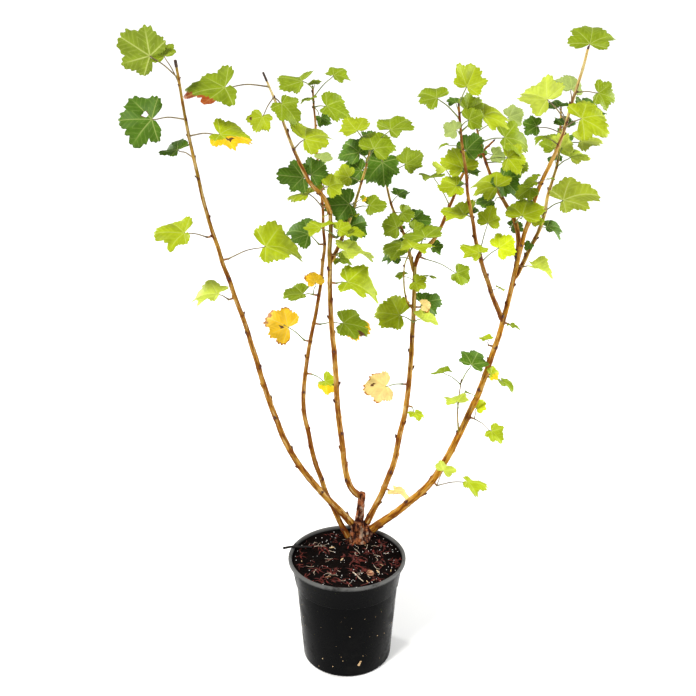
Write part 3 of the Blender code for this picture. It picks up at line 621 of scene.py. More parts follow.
class Finish:
    """One procedural material in the making."""

    def __init__(self, name, **fixed):
        self.material = bpy.data.materials.new(name)
        self.material.use_nodes = True
        self.tree = self.material.node_tree
        self.shader = self.tree.nodes["Principled BSDF"]
        for socket, value in fixed.items():
            self.set(self.shader.inputs[socket.replace("_", " ")], value)

    def set(self, socket, value):
        if isinstance(value, Wire):
            self.tree.links.new(value.socket, socket)
        elif socket.type == "RGBA" and len(value) == 3:
            socket.default_value = (*value, 1)
        else:
            socket.default_value = value

    def node(self, kind, settings, inputs, output=0):
        """A node of this kind: its settings come first, then what its sockets take, by name or number."""
        made = self.tree.nodes.new(kind)
        for name, value in settings.items():
            setattr(made, name, value)
        for key, value in inputs.items():
            self.set(made.inputs[key], value)
        return Wire(self, made.outputs[output])

    def maths(self, operation, first, second):
        return self.node("ShaderNodeMath", {"operation": operation}, {0: first, 1: second})

    def step(self, value, low, high):
        """0 below low and 1 above high, smooth between; the other way round where low is above high."""
        first, last = (0.0, 1.0) if low < high else (1.0, 0.0)
        ends = {0: value, 1: min(low, high), 2: max(low, high), 3: first, 4: last}
        return self.node("ShaderNodeMapRange", {"interpolation_type": "SMOOTHSTEP"}, ends)

    def mix(self, mask, first, second):
        return self.node("ShaderNodeMix", {"data_type": "RGBA"}, {0: mask, 6: first, 7: second}, 2)

    def place(self):
        return self.node("ShaderNodeTexCoord", {}, {}, "Object")

    def layer(self, name):
        return self.node("ShaderNodeUVMap", {"uv_map": name}, {})

    def parts(self, vector):
        """The three numbers of a vector."""
        split = self.node("ShaderNodeSeparateXYZ", {}, {0: vector})
        return [Wire(self, output) for output in split.socket.node.outputs]

    def stretched(self, vector, scale):
        return self.node("ShaderNodeMapping", {}, {"Vector": vector, "Scale": scale})

    def grain(self, size, detail=3, vector=None, rough=0.55):
        """Noise from 0 to 1 whose grains are this many millimetres across."""
        vector = vector or self.place()
        feed = {"Vector": vector, "Scale": 1 / (size * MM), "Detail": detail, "Roughness": rough}
        return self.node("ShaderNodeTexNoise", {}, feed)

    def cells(self, size, vector=None):
        vector = vector or self.place()
        return self.node("ShaderNodeTexVoronoi", {}, {"Vector": vector, "Scale": 1 / (size * MM)})

    def done(self, color, roughness, height=None, depth=0.3, strength=1.0):
        """Feeds the shader: a colour, a roughness and a height in shares of the depth, in millimetres."""
        self.set(self.shader.inputs["Base Color"], color)
        self.set(self.shader.inputs["Roughness"], roughness)
        if height is not None:
            feed = {"Strength": strength, "Distance": depth * MM, "Height": height}
            self.set(self.shader.inputs["Normal"], self.node("ShaderNodeBump", {}, feed))
        return self.material


def scaled(color, factor):
    return tuple(min(1.0, part * factor) for part in color)


def leaf_finish(name, color, underside):
    """Leaf skin: blotched green, with paler veins drawn from the blade's own chart of its veins, painted
    shade between the side veins and painted light along the main veins.
    """
    finish = Finish(name, Specular_IOR_Level=0.13)
    along, aside, _ = finish.parts(finish.layer("veins"))
    blotch = finish.grain(14, 3)
    fine = finish.grain(1.3, 2)
    ribs = finish.maths("PINGPONG", along, SIDE_VEIN_SPACING / 2)
    side_veins = finish.step(ribs, *SIDE_VEIN_EDGE) * SIDE_VEIN_STRENGTH
    main_veins = finish.step(aside, *MAIN_VEIN_EDGE)
    veins = finish.maths("MAXIMUM", side_veins, main_veins)
    tone = finish.mix(finish.step(blotch, 0.3, 0.7), scaled(color, 0.84), scaled(color, 1.1))
    # Painted shade: the blade between the side veins, away from the main veins, is darkened as if shaded in
    # its puckered hollows.
    painted_shade_hollow = finish.step(ribs, SIDE_VEIN_SPACING * 0.2, SIDE_VEIN_SPACING * 0.5)
    between = painted_shade_hollow * finish.step(aside, 0.03, 0.12)
    tone = finish.mix(between * 0.5, tone, scaled(color, 0.72))
    # Painted light: a lighter band of the same green along the main veins.
    tone = finish.mix(finish.step(aside, 0.07, 0.0) * 0.3, tone, scaled(color, 1.25))
    pale = tuple((part + vein) / 2 for part, vein in zip(color, VEIN_COLOUR))
    tone = finish.mix(veins * (0.9 if underside else 0.5), tone, pale)
    relief = (veins if underside else 1 - veins) + fine * 0.15
    roughness = fine * 0.15 + (0.62 if underside else 0.4)
    return finish.done(tone, roughness, relief, 0.4, 0.7)


def bark_finish(name, old, young, node_tone, peel, ageing):
    """Thin ochre bark in long streaks: worn in patches, stained at its nodes, peeling in pale strips."""
    finish = Finish(name, Specular_IOR_Level=0.07)
    share, node_gap, _ = finish.parts(finish.layer("bark"))
    skin = finish.layer("skin")
    fibres = finish.grain(1.5, 4, finish.stretched(skin, (1, 0.07, 1)), 0.65)
    streaks = finish.grain(5, 3, finish.stretched(skin, (1, 0.14, 1)), 0.6)
    patches = finish.grain(26, 3)
    tone = finish.mix(finish.step(share, *ageing), old, young)
    tone = finish.mix(finish.step(patches, 0.46, 0.6) * 0.5, tone, WORN_BARK)
    darker = finish.step(node_gap, 8, 1) * 0.06 + finish.step(share, 0.13, 0.0) * 0.05
    stain = finish.step(streaks - darker, 0.49, 0.38)
    tone = finish.mix(stain * 0.8, tone, STAINED_BARK)
    tone = finish.mix(finish.step(fibres, 0.47, 0.62) * 0.65, tone, scaled(STAINED_BARK, 0.8))
    tone = finish.mix(finish.step(streaks * 0.6 + fibres * 0.4, 0.53, 0.6) * peel, tone, PEELED_BARK)
    ring = finish.step(node_gap, 2.8, 0.9) * finish.step(streaks, 0.4, 0.52)
    tone = finish.mix(ring * 0.7, tone, node_tone)
    return finish.done(tone, fibres * 0.2 + 0.5, fibres + streaks * 0.4, 0.5, 0.7)


def old_wood_finish():
    """The stool's bark: red-brown and cracked along its length, with a few grey weathered crusts."""
    finish = Finish("stool_bark", Specular_IOR_Level=0.12)
    cracks = finish.cells(4.2, finish.stretched(finish.place(), (1, 1, 0.3)))
    rough = finish.grain(7, 5, finish.stretched(finish.place(), (1, 1, 0.6)), 0.62)
    crust = finish.grain(11, 4)
    tone = finish.mix(finish.step(rough, 0.4, 0.62), STOOL_DEEP, STOOL_LIGHT)
    tone = finish.mix(finish.step(cracks, 0.5, 0.75) * 0.8, tone, STOOL_CRACK)
    weathered = finish.step(crust, 0.52, 0.62) * finish.step(rough, 0.46, 0.56)
    tone = finish.mix(weathered * 0.55, tone, STOOL_CRUST)
    return finish.done(tone, rough * 0.2 + 0.7, rough - cracks * 0.7, 1.2, 0.9)


def plastic_finish():
    """Black plastic with fine scuffs, a film of dust low down, and a painted highlight in patches on the
    rim.
    """
    finish = Finish("black_plastic", Specular_IOR_Level=0.035)
    place = finish.place()
    height = finish.parts(place)[2]
    clouds = finish.grain(24, 5, rough=0.62)
    scuffs = finish.grain(3, 3, finish.stretched(place, (1, 1, 6)))
    dust = finish.grain(0.9, 2)
    film = finish.step(clouds, 0.5, 0.72) * finish.step(height, 0.13, 0.0)
    tone = finish.mix(film * 0.12, PLASTIC_BLACK, PLASTIC_FILM)
    tone = finish.mix(finish.step(scuffs, 0.68, 0.8) * 0.1, tone, PLASTIC_SCUFF)
    tone = finish.mix(finish.step(dust, 0.74, 0.82) * 0.25, tone, PLASTIC_DUST)
    # Painted highlight: the top of the rim and its roll are painted light grey in patches, standing for the
    # sky's reflection.
    worn = finish.step(height, 0.1780, 0.1822) * finish.step(clouds, 0.2, 0.5)
    tone = finish.mix(worn * 0.8, tone, PLASTIC_RIM_HIGHLIGHT)
    roughness = finish.step(clouds, 0.4, 0.6) * 0.2 + film * 0.2 + 0.2
    return finish.done(tone, roughness, scuffs * 0.3 + dust * 0.25, 0.12, 0.3)


def compost_finish(name, dark, light):
    """Moist bark and peat: dark, crumbly and patchy."""
    finish = Finish(name, Specular_IOR_Level=0.04)
    crumbs = finish.cells(3.4)
    rough = finish.grain(2.4, 5, rough=0.7)
    patches = finish.grain(14, 3)
    tone = finish.mix(finish.step(rough, 0.42, 0.74), dark, light)
    tone = finish.mix(finish.step(patches, 0.5, 0.68) * 0.4, tone, scaled(light, 1.2))
    return finish.done(tone, rough * 0.2 + 0.75, rough - crumbs * 0.6, 1.6, 0.9)


def grained_finish(name, tone_low, tone_high, size, roughness):
    """A finish of two tones in irregular streaks, for chips, fibres, buds, stalks and perlite."""
    finish = Finish(name, Specular_IOR_Level=0.3)
    streaks = finish.grain(size, 4)
    fine = finish.grain(size / 4, 2)
    tone = finish.mix(finish.step(streaks, 0.35, 0.68), tone_low, tone_high)
    return finish.done(tone, fine * 0.2 + roughness, fine + streaks, 0.3, 0.6)


FINISHES = {}


def finish_of(name):
    """A material by its plain name, made the first time that it is asked for."""
    if name not in FINISHES:
        if name.startswith("leaf_"):
            _, side, tint = name.split("_")
            FINISHES[name] = leaf_finish(name, LEAF_COLOURS[tint][side == "under"], side == "under")
        elif name in BARKS:
            FINISHES[name] = bark_finish(name, *BARKS[name])
        elif name in GRAINED:
            FINISHES[name] = grained_finish(name, *GRAINED[name])
        elif name in COMPOSTS:
            FINISHES[name] = compost_finish(name, *COMPOSTS[name])
        elif name == "stool_bark":
            FINISHES[name] = old_wood_finish()
        else:
            FINISHES[name] = plastic_finish()
    return FINISHES[name]


def placed(name, data):
    """An object of this data in the scene."""
    made = bpy.data.objects.new(name, data)
    bpy.context.scene.collection.objects.link(made)
    return made


def in_metres(name, piece):
    """The mesh of a piece that was modelled in millimetres, which is used up."""
    bmesh.ops.scale(piece, vec=(MM, MM, MM), verts=piece.verts)
    mesh = bpy.data.meshes.new(name)
    piece.to_mesh(mesh)
    piece.free()
    return mesh


def finish_piece(name, modelled, finishes, replaced=()):
    """Makes a modelled shape a piece that rides on the part and stands for the solids it replaces."""
    mesh = in_metres(name, modelled)
    for finish in finishes:
        mesh.materials.append(finish_of(finish))
    mesh.shade_smooth()
    piece = placed(name, mesh)
    if replaced:
        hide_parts(*replaced)
    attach(piece, "root")
    return piece


def add_sheet(piece, columns, rows, place, chart=None):
    """A grid whose corners go to place(u, v), from 0 to 1. chart(u, v) gives a pair for each UV layer."""
    corners = bmesh.ops.create_grid(piece, x_segments=columns, y_segments=rows, size=1)["verts"]
    layers = piece.loops.layers.uv.values()
    spots = {corner: ((corner.co.x + 1) / 2, (corner.co.y + 1) / 2) for corner in corners}
    faces = list({face for corner in corners for face in corner.link_faces})
    if chart:
        for face in faces:
            for loop in face.loops:
                for layer, pair in zip(layers, chart(*spots[loop.vert])):
                    loop[layer].uv = pair
    for corner, spot in spots.items():
        corner.co = place(*spot)
    bmesh.ops.remove_doubles(piece, verts=corners, dist=MERGE)
    return [face for face in faces if face.is_valid]


def mesh_with_chart(*layers):
    piece = bmesh.new()
    for layer in layers:
        piece.loops.layers.uv.new(layer)
    return piece


def recalculated(piece):
    bmesh.ops.recalc_face_normals(piece, faces=piece.faces)
    return piece


def around(radius, angle):
    """How far to the right and away a place lies, at this radius and angle about the pot's axis."""
    return radius * math.cos(angle), radius * math.sin(angle)


def clock_way(clock):
    """The way to a clock on the viewer's sheet, in degrees from its top."""
    angle = math.radians(clock)
    return SHEET_RIGHT * math.sin(angle) + SHEET_UP * math.cos(angle)


def blended(stops, at):
    """The value between the stops on both sides, each a place and its value, with a soft run between."""
    for (a, low), (b, high) in zip(stops, stops[1:]):
        if at <= b:
            return low + (high - low) * (1 - math.cos(math.pi * (at - a) / (b - a))) / 2


def smooth_path(points, steps=8):
    """Points along a smooth curve that passes through every given point."""
    knots = [2 * points[0] - points[1], *points, 2 * points[-1] - points[-2]]
    path = []
    for a, b, c, d in zip(knots, knots[1:], knots[2:], knots[3:]):
        for step in range(steps):
            t = step / steps
            bend = (2 * a - 5 * b + 4 * c - d) * t**2 + (3 * b - a - 3 * c + d) * t**3
            path.append(0.5 * (2 * b + (c - a) * t + bend))
    path.append(points[-1])
    return path


class Way:
    """A path that is walked by distance."""

    def __init__(self, points):
        self.points = points
        self.miles = [0.0]
        for a, b in zip(points, points[1:]):
            self.miles.append(self.miles[-1] + (b - a).length)
        self.length = self.miles[-1]

    def at(self, distance):
        index = min(max(bisect.bisect_right(self.miles, distance) - 1, 0), len(self.points) - 2)
        start, end = self.miles[index], self.miles[index + 1]
        share = max(0.0, min(1.0, (distance - start) / (end - start)))
        return self.points[index].lerp(self.points[index + 1], share)

    def heading(self, distance):
        return (self.at(distance + 1) - self.at(distance - 1)).normalized()


class Limb(Way):
    """A tapering limb of the solids, straight between nodes that lie a little aside from a smooth curve."""

    def __init__(self, name, points, foot_radius, tip_radius, carries_on):
        self.foot_radius = foot_radius
        self.tip_radius = tip_radius
        self.carries_on = carries_on
        smooth = Way(smooth_path(points, 12))
        count = max(2, round(smooth.length / NODE_SPACING))
        shifts = random.Random(name)
        nodes = []
        for index in range(count + 1):
            aside = Vector((shifts.uniform(-1, 1), shifts.uniform(-1, 1), 0)) * NODE_SHIFT
            if index in (0, count):
                aside.zero()
            nodes.append(smooth.at(smooth.length * index / count) + aside)
        super().__init__(nodes)

    def at_share(self, share):
        return self.at(share * self.length)

    def heading(self, distance):
        if self.carries_on and distance < 1:
            return self.carries_on
        return super().heading(distance)

    def radius(self, distance):
        flare = 0 if self.carries_on else FOOT_FLARE * math.exp(-distance / FLARE_LENGTH)
        taper = self.foot_radius + (self.tip_radius - self.foot_radius) * distance / self.length
        return taper * (1 + flare)


def grow_limbs():
    limbs = {}
    for name, (parent_name, parent_share, points, foot_radius, tip_radius, _) in LIMBS.items():
        points = [Vector(point) for point in points]
        carries_on = None
        if parent_name in limbs:
            parent = limbs[parent_name]
            if parent_share == 1:
                carries_on = parent.heading(parent.length)
                points.insert(0, parent.at_share(1) + carries_on * STRAIGHT_ON)
            points.insert(0, parent.at_share(parent_share))
        limbs[name] = Limb(name, points, foot_radius, tip_radius, carries_on)
    return limbs


class Sleeve:
    """Frames along a way, turned as little as possible, so that a skin round it doesn't twist."""

    def __init__(self, way, rows):
        self.way = way
        self.rows = rows
        last = way.heading(0)
        side = last.orthogonal().normalized()
        self.frames = []
        for row in range(rows + 1):
            distance = way.length * row / rows
            heading = way.heading(distance)
            side = (last.rotation_difference(heading) @ side).normalized()
            last = heading
            self.frames.append((way.at(distance), heading, side))

    def spoke(self, row, angle):
        _, heading, side = self.frames[row]
        return Matrix.Rotation(angle, 3, heading) @ side


def add_sleeve(piece, way, sides, rows, radius_at, chart=None):
    """A closed skin round a way, radius_at(distance, angle) from it, whose ends close to a point."""
    sleeve = Sleeve(way, rows)

    def place(u, v):
        row = round(v * (rows + 2)) - 1
        inside = min(max(row, 0), rows)
        centre = sleeve.frames[inside][0]
        if row != inside:
            return centre
        angle = math.tau * u
        return centre + radius_at(way.length * inside / rows, angle) * sleeve.spoke(inside, angle)

    def chart_place(u, v):
        row = min(max(round(v * (rows + 2)) - 1, 0), rows)
        return chart(way.length * row / rows, math.tau * u)

    return add_sheet(piece, sides, rows + 2, place, chart_place if chart else None)


def bud_places(limb, rows):
    """The distances of a limb's nodes: where its leaves stand, and evenly between them."""
    leafy = sorted({round(row[0] * limb.length, 1) for row in rows if row[0] < 1})
    stops = [-BUD_SPACING / 2, *leafy, limb.length]
    places = list(leafy)
    for low, high in zip(stops, stops[1:]):
        count = round((high - low) / BUD_SPACING)
        places += [low + (high - low) * index / count for index in range(1, count)]
    return sorted(place for place in places if place > FIRST_BUD)


class Skin:
    """The bark of one limb and the side on which each of its buds sits."""

    def __init__(self, name, limb, nodes):
        self.name = name
        self.limb = limb
        self.nodes = nodes
        self.way = Way(smooth_path(limb.points))
        self.rows = round(self.way.length / RING_STEP)
        self.seed = Vector((sum(map(ord, name)), 0, 0))
        first = random.Random(name).uniform(0, math.tau)
        self.sides = [first + TURN_PER_BUD * index for index in range(len(nodes))]
        parent, share = LIMBS[name][:2]
        self.from_flank = parent != "stool" and share < 1

    def nearest(self, distance):
        """The nearest node's distance and its bud's side."""
        return min(zip(self.nodes, self.sides), key=lambda bud: abs(distance - bud[0]))

    def radius(self, distance, angle):
        spot = Vector((2 * math.cos(angle), 2 * math.sin(angle), distance / 9)) + self.seed
        swelling = BARK_LUMPS * noise.noise(spot) + BARK_RIDGES * noise.noise(spot * 2.7)
        node, side = self.nearest(distance)
        near = math.exp(-(((distance - node) / SWELLING_LENGTH) ** 2))
        facing = 0.5 + 0.5 * math.cos(angle - side)
        swelling += BUD_SWELLING * near * (0.2 + 0.8 * facing**2)
        slimmer = TIP_SLIMMING * (distance / self.limb.length) ** 2
        if self.from_flank:
            slimmer += SUNK_FOOT * max(0, 1 - distance / SUNK_LENGTH)
        return self.limb.radius(distance) * (FULL_BARK - slimmer + swelling)

    def chart(self, distance, angle):
        """The share along the limb and the nearest bud's distance, then metres around and along."""
        node, side = self.nearest(distance)
        gap = abs(distance - node) + RING_FADE * (1 - math.cos(angle - side))
        across = self.limb.radius(distance) * abs(angle - math.pi)
        return (distance / self.limb.length, gap), (across * MM, (distance + self.seed.x) * MM)


def make_bark(skin, finish, replaced):
    """The skin of one limb: swollen at its nodes on the buds' side, ridged along its length."""
    piece = mesh_with_chart("bark", "skin")
    sides = CANE_SIDES if skin.limb.foot_radius > THICKEST_TWIG else TWIG_SIDES
    add_sleeve(piece, skin.way, sides, skin.rows, skin.radius, skin.chart)
    finish_piece(skin.name + "_bark", recalculated(piece), [finish], replaced)


def add_bud(piece, foot, heading, out, size):
    """A pointed bud that leans out from the limb at its foot."""
    lean = (heading + out * BUD_LEAN).normalized()
    across = lean.cross(out).normalized()
    turn = Matrix((across, lean.cross(across), lean)).transposed().to_4x4()
    turn.translation = foot
    wide, deep, long = BUD_SHAPE
    corners = bmesh.ops.create_uvsphere(piece, u_segments=8, v_segments=6, radius=1)["verts"]
    for corner in corners:
        x, y, z = corner.co
        slim = 1.0 if z < 0 else (1 - z) ** 0.35
        corner.co = turn @ Vector((x * slim * wide * size, y * slim * deep * size, (z + 0.7) * long * size))


def make_buds(skin, leafy):
    """A bud at every node, on the limb's swollen side, and one at its tip."""
    piece = bmesh.new()
    limb = skin.limb
    dice = random.Random(skin.name + "_buds")
    sleeve = Sleeve(skin.way, skin.rows)
    for distance, angle in zip(skin.nodes, skin.sides):
        row = min(skin.rows, round(distance / skin.way.length * skin.rows))
        centre, heading, _ = sleeve.frames[row]
        out = sleeve.spoke(row, angle)
        size = min(LARGEST_BUD, SMALLEST_BUD + limb.radius(distance) * 0.7) * dice.uniform(0.6, 1.2)
        if any(abs(distance - place) < 1 for place in leafy):
            size *= LEAFY_BUD
        add_bud(piece, centre + out * limb.radius(distance), heading, out, size)
    if limb.tip_radius < THICKEST_TWIG + 0.2 and skin.name not in DEAD_TIPS:
        heading = limb.heading(limb.length)
        add_bud(piece, limb.at(limb.length), heading, heading.orthogonal() * 0.01, 3 + limb.tip_radius)
    finish_piece(skin.name + "_buds", recalculated(piece), ["bud_scales"])


def make_pegs(limbs):
    """The dead snags of old prunings: short dark stubs that stand out of the canes."""
    piece = bmesh.new()
    for name, share, clock, length, thick in PEGS:
        limb = limbs[name]
        distance = share * limb.length
        heading = limb.heading(distance)
        out = clock_way(clock) + TO_VIEWER * 0.3
        way = (out.normalized() + heading * 0.5).normalized()
        foot = limb.at(distance)
        line = Way([foot, foot + way * (limb.radius(distance) + length)])

        def snag_radius(at, turn):
            return thick * (1 + 0.12 * math.sin(at * 1.7 + 2 * turn))

        add_sleeve(piece, line, *PEG_GRID, snag_radius)
    for name, length in DEAD_TIPS.items():
        limb = limbs[name]
        end = limb.at(limb.length)
        line = Way([limb.at(limb.length - length), end, end + limb.heading(limb.length)])

        def tip_radius(at, turn):
            return limb.tip_radius * (1.07 - 0.005 * at + 0.05 * math.sin(at * 2))

        add_sleeve(piece, line, *PEG_GRID, tip_radius)
    finish_piece("dead_snags", recalculated(piece), ["dead_wood"])


def leaf_frame(node, clock, reach, near, width, lean, rng):
    """The blade's frame at its hub. Its middle hangs from the node, and the lean turns its tip and face."""
    angle = math.radians(clock)
    middle = node + reach * clock_way(clock) + near * TO_VIEWER - BLADE_SAG * width * SHEET_UP
    tilt = math.radians(lean)
    rise = Vector((0, math.cos(tilt), math.sin(tilt)))
    seen = rise.dot(SHEET_UP)
    seen = math.copysign(max(abs(seen), THINNEST_VIEW), seen)
    tip_way = SHEET_RIGHT * math.sin(angle) + rise * math.cos(angle) / seen - Vector((0, 0, TIP_DROOP))
    tip_way.normalize()
    sway = Vector([rng.uniform(-most, most) for most in LEAF_SWAY])
    light = Vector((0, -math.sin(tilt), math.cos(tilt))) + sway
    face = (light - light.dot(tip_way) * tip_way).normalized()
    hung = Matrix((tip_way.cross(face), tip_way, face)).transposed().to_4x4()
    hung.translation = middle - HUB_BACK * width * tip_way
    return hung


def place_of_leaf(solid, node, row, turns, rng):
    """A leaf's width, frame, fold, droop and dice, at the turn that puts its hub on the solid's blade."""
    _, clock, reach, near, width, lean, _ = row
    width *= FULLNESS
    seed = rng.random()
    half = max(width * BLADE_THICKNESS, THINNEST_BLADE) / 2
    first = None
    for turn, shift in turns:
        shape = random.Random(seed)
        hung = leaf_frame(node, clock + turn, reach, near + shift, width, lean, shape)
        found = width, hung, shape.uniform(0.05, 0.3), shape.uniform(-0.1, 0.5), shape
        first = first or found
        gap = solid.find_nearest(hung @ Vector((0, 0, half)) * MM)[3]
        if gap is not None and gap < FOUND * MM:
            return found
    return first


def with_companions(rows, rng):
    """The stated leaves and, by chance in a dense mass, smaller ones behind large ones, with their turns.
    Those behind take the dark tint as painted shade.
    """
    for row in rows:
        yield row, DODGES[:1]
        share, clock, reach, near, width, _, _ = row
        if len(rows) >= DENSE_MASS and width > SMALLEST_PARENT and rng.random() < COMPANION_CHANCE:
            aside = rng.choice((-1, 1)) * rng.uniform(*COMPANION_ASIDE)
            place = (share, clock + aside, COMPANION_REACH * reach, -abs(near) - COMPANION_BEHIND)
            # Painted shade: a leaf behind a large one is always given the dark tint.
            yield (*place, COMPANION_SIZE * width, COMPANION_LEAN, "dark"), DODGES


def rim_reach(angle):
    """The distance from the blade's foot to its rim in shares of its width, before lobes and teeth vary."""
    return blended(BLADE_RIM, min(abs(angle), RIM_SPREAD))


class Blade:
    """The shape of one leaf: place() is its surface and veins() its chart, over u across and v outward."""

    def __init__(self, width, hung, fold, droop, rng):
        self.width = width
        self.hung = hung
        self.fold = fold
        self.droop = droop
        self.lobes = [rng.uniform(0.82, 1.03) for _ in VEIN_ANGLES]
        self.phase = rng.uniform(0, math.tau)
        self.wave = rng.uniform(0.02, 0.05)
        self.sway = rng.uniform(0.02, 0.13)
        self.curl = rng.uniform(-0.05, 0.3)
        self.cup = rng.uniform(-0.18, 0.26)
        self.pucker = rng.uniform(0.022, 0.042)
        self.bends = [(vein, rng.uniform(-0.75, 0.35)) for vein in VEIN_ANGLES]
        self.cut = rng.uniform(0.0, 0.1)

    def nearest_vein(self, angle):
        return min(range(len(VEIN_ANGLES)), key=lambda index: abs(angle - VEIN_ANGLES[index]))

    def bend(self, angle):
        """How far the blade bends up here: each lobe has its own bend, blended between the veins."""
        return blended(self.bends, min(max(angle, VEIN_ANGLES[0]), VEIN_ANGLES[-1]))

    def veins(self, u, v):
        """The way along the nearest main vein less the way aside from it, and the way aside."""
        angle = (2 * u - 1) * RIM_SPREAD
        turn = math.radians(angle - VEIN_ANGLES[self.nearest_vein(angle)])
        reach = v * rim_reach(angle)
        aside = abs(reach * math.sin(turn))
        return reach * math.cos(turn) - aside, aside

    def flat(self, u, v):
        """Across and along from the blade's foot, in shares of the width."""
        angle = (2 * u - 1) * RIM_SPREAD
        depth = TOOTH_DEPTH * (1 + 0.5 * math.sin(angle * 0.14 + 3 * self.phase))
        tooth = depth * (abs(math.sin(math.pi * angle / TOOTH_ANGLE + self.phase)) - 0.6)
        index = self.nearest_vein(angle)
        off_vein = min(1, abs(angle - VEIN_ANGLES[index]) / LOBE_HALF)
        notch = self.cut * off_vein**2 if abs(angle) < VEIN_ANGLES[-1] else 0
        reach = v * rim_reach(angle) * (1 + (self.lobes[index] - 1 - notch) * v) * (1 + tooth * v**8)
        return reach * math.sin(math.radians(angle)), reach * math.cos(math.radians(angle))

    def place(self, u, v):
        across, along = self.flat(u, v)
        angle = (2 * u - 1) * RIM_SPREAD
        off_vein = abs(angle - VEIN_ANGLES[self.nearest_vein(angle)]) / LOBE_HALF
        bulge = self.pucker * math.sin(min(off_vein, 1) * math.pi / 2) * v
        rows = math.cos(math.tau * self.veins(u, v)[0] / SIDE_VEIN_SPACING)
        ribs = RIB_DEPTH * rows * min(1, 4 * off_vein) * v
        ripple = self.wave * math.sin(math.radians(angle) * 6 + self.phase) * v**4
        reach = math.hypot(across, along)
        sway = self.sway * math.sin(math.radians(angle) * 2.5 + 2 * self.phase) * reach
        curl = self.curl * reach**3
        cup = self.cup * (across**2 + (along - FOOT_BACK) ** 2)
        y = (along - FOOT_BACK) * self.width
        lift = self.fold * abs(across) * self.width - self.droop * y * abs(y) / self.width
        lift += (bulge + ribs + ripple + sway + self.bend(angle) * reach**2 - curl - cup) * self.width
        return self.hung @ Vector((across * self.width, y, lift))

    def foot(self):
        return self.place(0.5, 0)


def second_tone(blade, part, across, along, reach):
    """Whether a spot has the tint's second colour, which lies on the rim, on one half or on one lobe."""
    wander = 0.09 * noise.noise(Vector((across * 6, along * 6, blade.phase)))
    if part == "rim":
        return reach + wander * 1.5 > 0.84 and (along > 0.1 or reach > 0.93)
    if part == "half":
        return along * 0.35 + across * 0.8 + wander > 0.16
    return along * 0.7 - across * 0.8 + 1.5 * wander > 0.45 and reach > 0.6


def add_leaf(piece, slots, blade, tint, mark):
    """One leaf: its sheet, coloured by place, then given a thickness and an underside."""
    main, second, part = TWO_COLOURED.get(tint, (tint, None, None))
    columns, rows = LARGE_GRID if blade.width > LARGE_BLADE else SMALL_GRID

    def place(u, v):
        return blade.place(u, 1 - (1 - v) ** RIM_CROWDING)

    def chart(u, v):
        return [blade.veins(u, 1 - (1 - v) ** RIM_CROWDING)]

    faces = add_sheet(piece, columns, rows, place, chart)
    back = blade.hung.inverted()
    gone = []
    for face in faces:
        middle = back @ face.calc_center_median()
        across = middle.x / blade.width
        along = middle.y / blade.width + FOOT_BACK
        angle = math.degrees(math.atan2(across, along))
        reach = math.hypot(across, along) / rim_reach(angle)
        tone = second if part and second_tone(blade, part, across, along, reach) else main
        if mark:
            kind, mark_across, mark_along, size = mark
            edge = size * (1 + 0.5 * noise.noise(Vector((angle * 0.05, reach * 5, 3))))
            away = math.hypot(across - mark_across, along - FOOT_BACK - mark_along)
            if away < edge and kind == "hole":
                gone.append(face)
            elif away < edge * (HOLE_MARGIN if kind == "hole" else 1):
                tone = "brown"
        face.material_index = slots.index_of(tone)
    if gone:
        faces = [face for face in faces if face not in gone]
        bmesh.ops.delete(piece, geom=gone, context="FACES")
    upper = set(faces)
    made = bmesh.ops.solidify(piece, geom=faces, thickness=LEAF_SKIN)["geom"]
    for face in made:
        if isinstance(face, bmesh.types.BMFace) and face not in upper:
            face.material_index += 1


class Slots:
    """The leaf materials of one piece, each colour's upper side followed by its underside."""

    def __init__(self):
        self.names = []

    def index_of(self, tone):
        name = f"leaf_upper_{tone}"
        if name not in self.names:
            self.names += [name, f"leaf_under_{tone}"]
        return self.names.index(name)


def add_stalk(piece, joint, blade):
    """The leaf stalk: it arches from its joint and meets the blade's foot from under the notch."""
    foot = blade.foot()
    span = (foot - joint).length
    tip_way = blade.hung.col[1].xyz
    arch = joint.lerp(foot, 0.5) + Vector((0, 0, PETIOLE_ARCH * span))
    under = foot - tip_way * min(5, span * 0.25) - blade.hung.col[2].xyz * min(1.2, span * 0.05)
    way = Way(smooth_path([joint, arch, under, foot], 5))
    slim = min(PETIOLE_RADIUS, STALK_GROWTH * blade.width + THINNEST_STALK)

    def radius_at(distance, angle):
        share = distance / way.length
        return slim * (1 - 0.3 * share + 0.7 * math.exp(-distance / 1.8))

    add_sleeve(piece, way, STALK_SIDES, max(6, round(way.length / STALK_RING_STEP)), radius_at)


def spur_of(limb, share, rows):
    """The foot and the way out of a short spur on the limb's side, toward its leaves."""
    distance = share * limb.length
    heading = limb.heading(distance)
    way = Vector()
    for _, clock, reach, near, *_ in rows:
        way += clock_way(clock) + TO_VIEWER * (near / reach)
    way = (way - way.dot(heading) * heading).normalized()
    return limb.at(distance) + way * (limb.radius(distance) + GAP), way


def add_spur(piece, foot, way):
    """A stubby ringed spur, sunk in the bark at its foot."""
    line = Way([foot - way * SPUR_SINK, foot + way * (SPUR_LENGTH - 0.4)])

    def radius_at(distance, angle):
        return SPUR_RADIUS * (1.15 - 0.3 * distance / line.length + 0.09 * math.sin(distance * 3.1))

    add_sleeve(piece, line, *SPUR_GRID, radius_at)


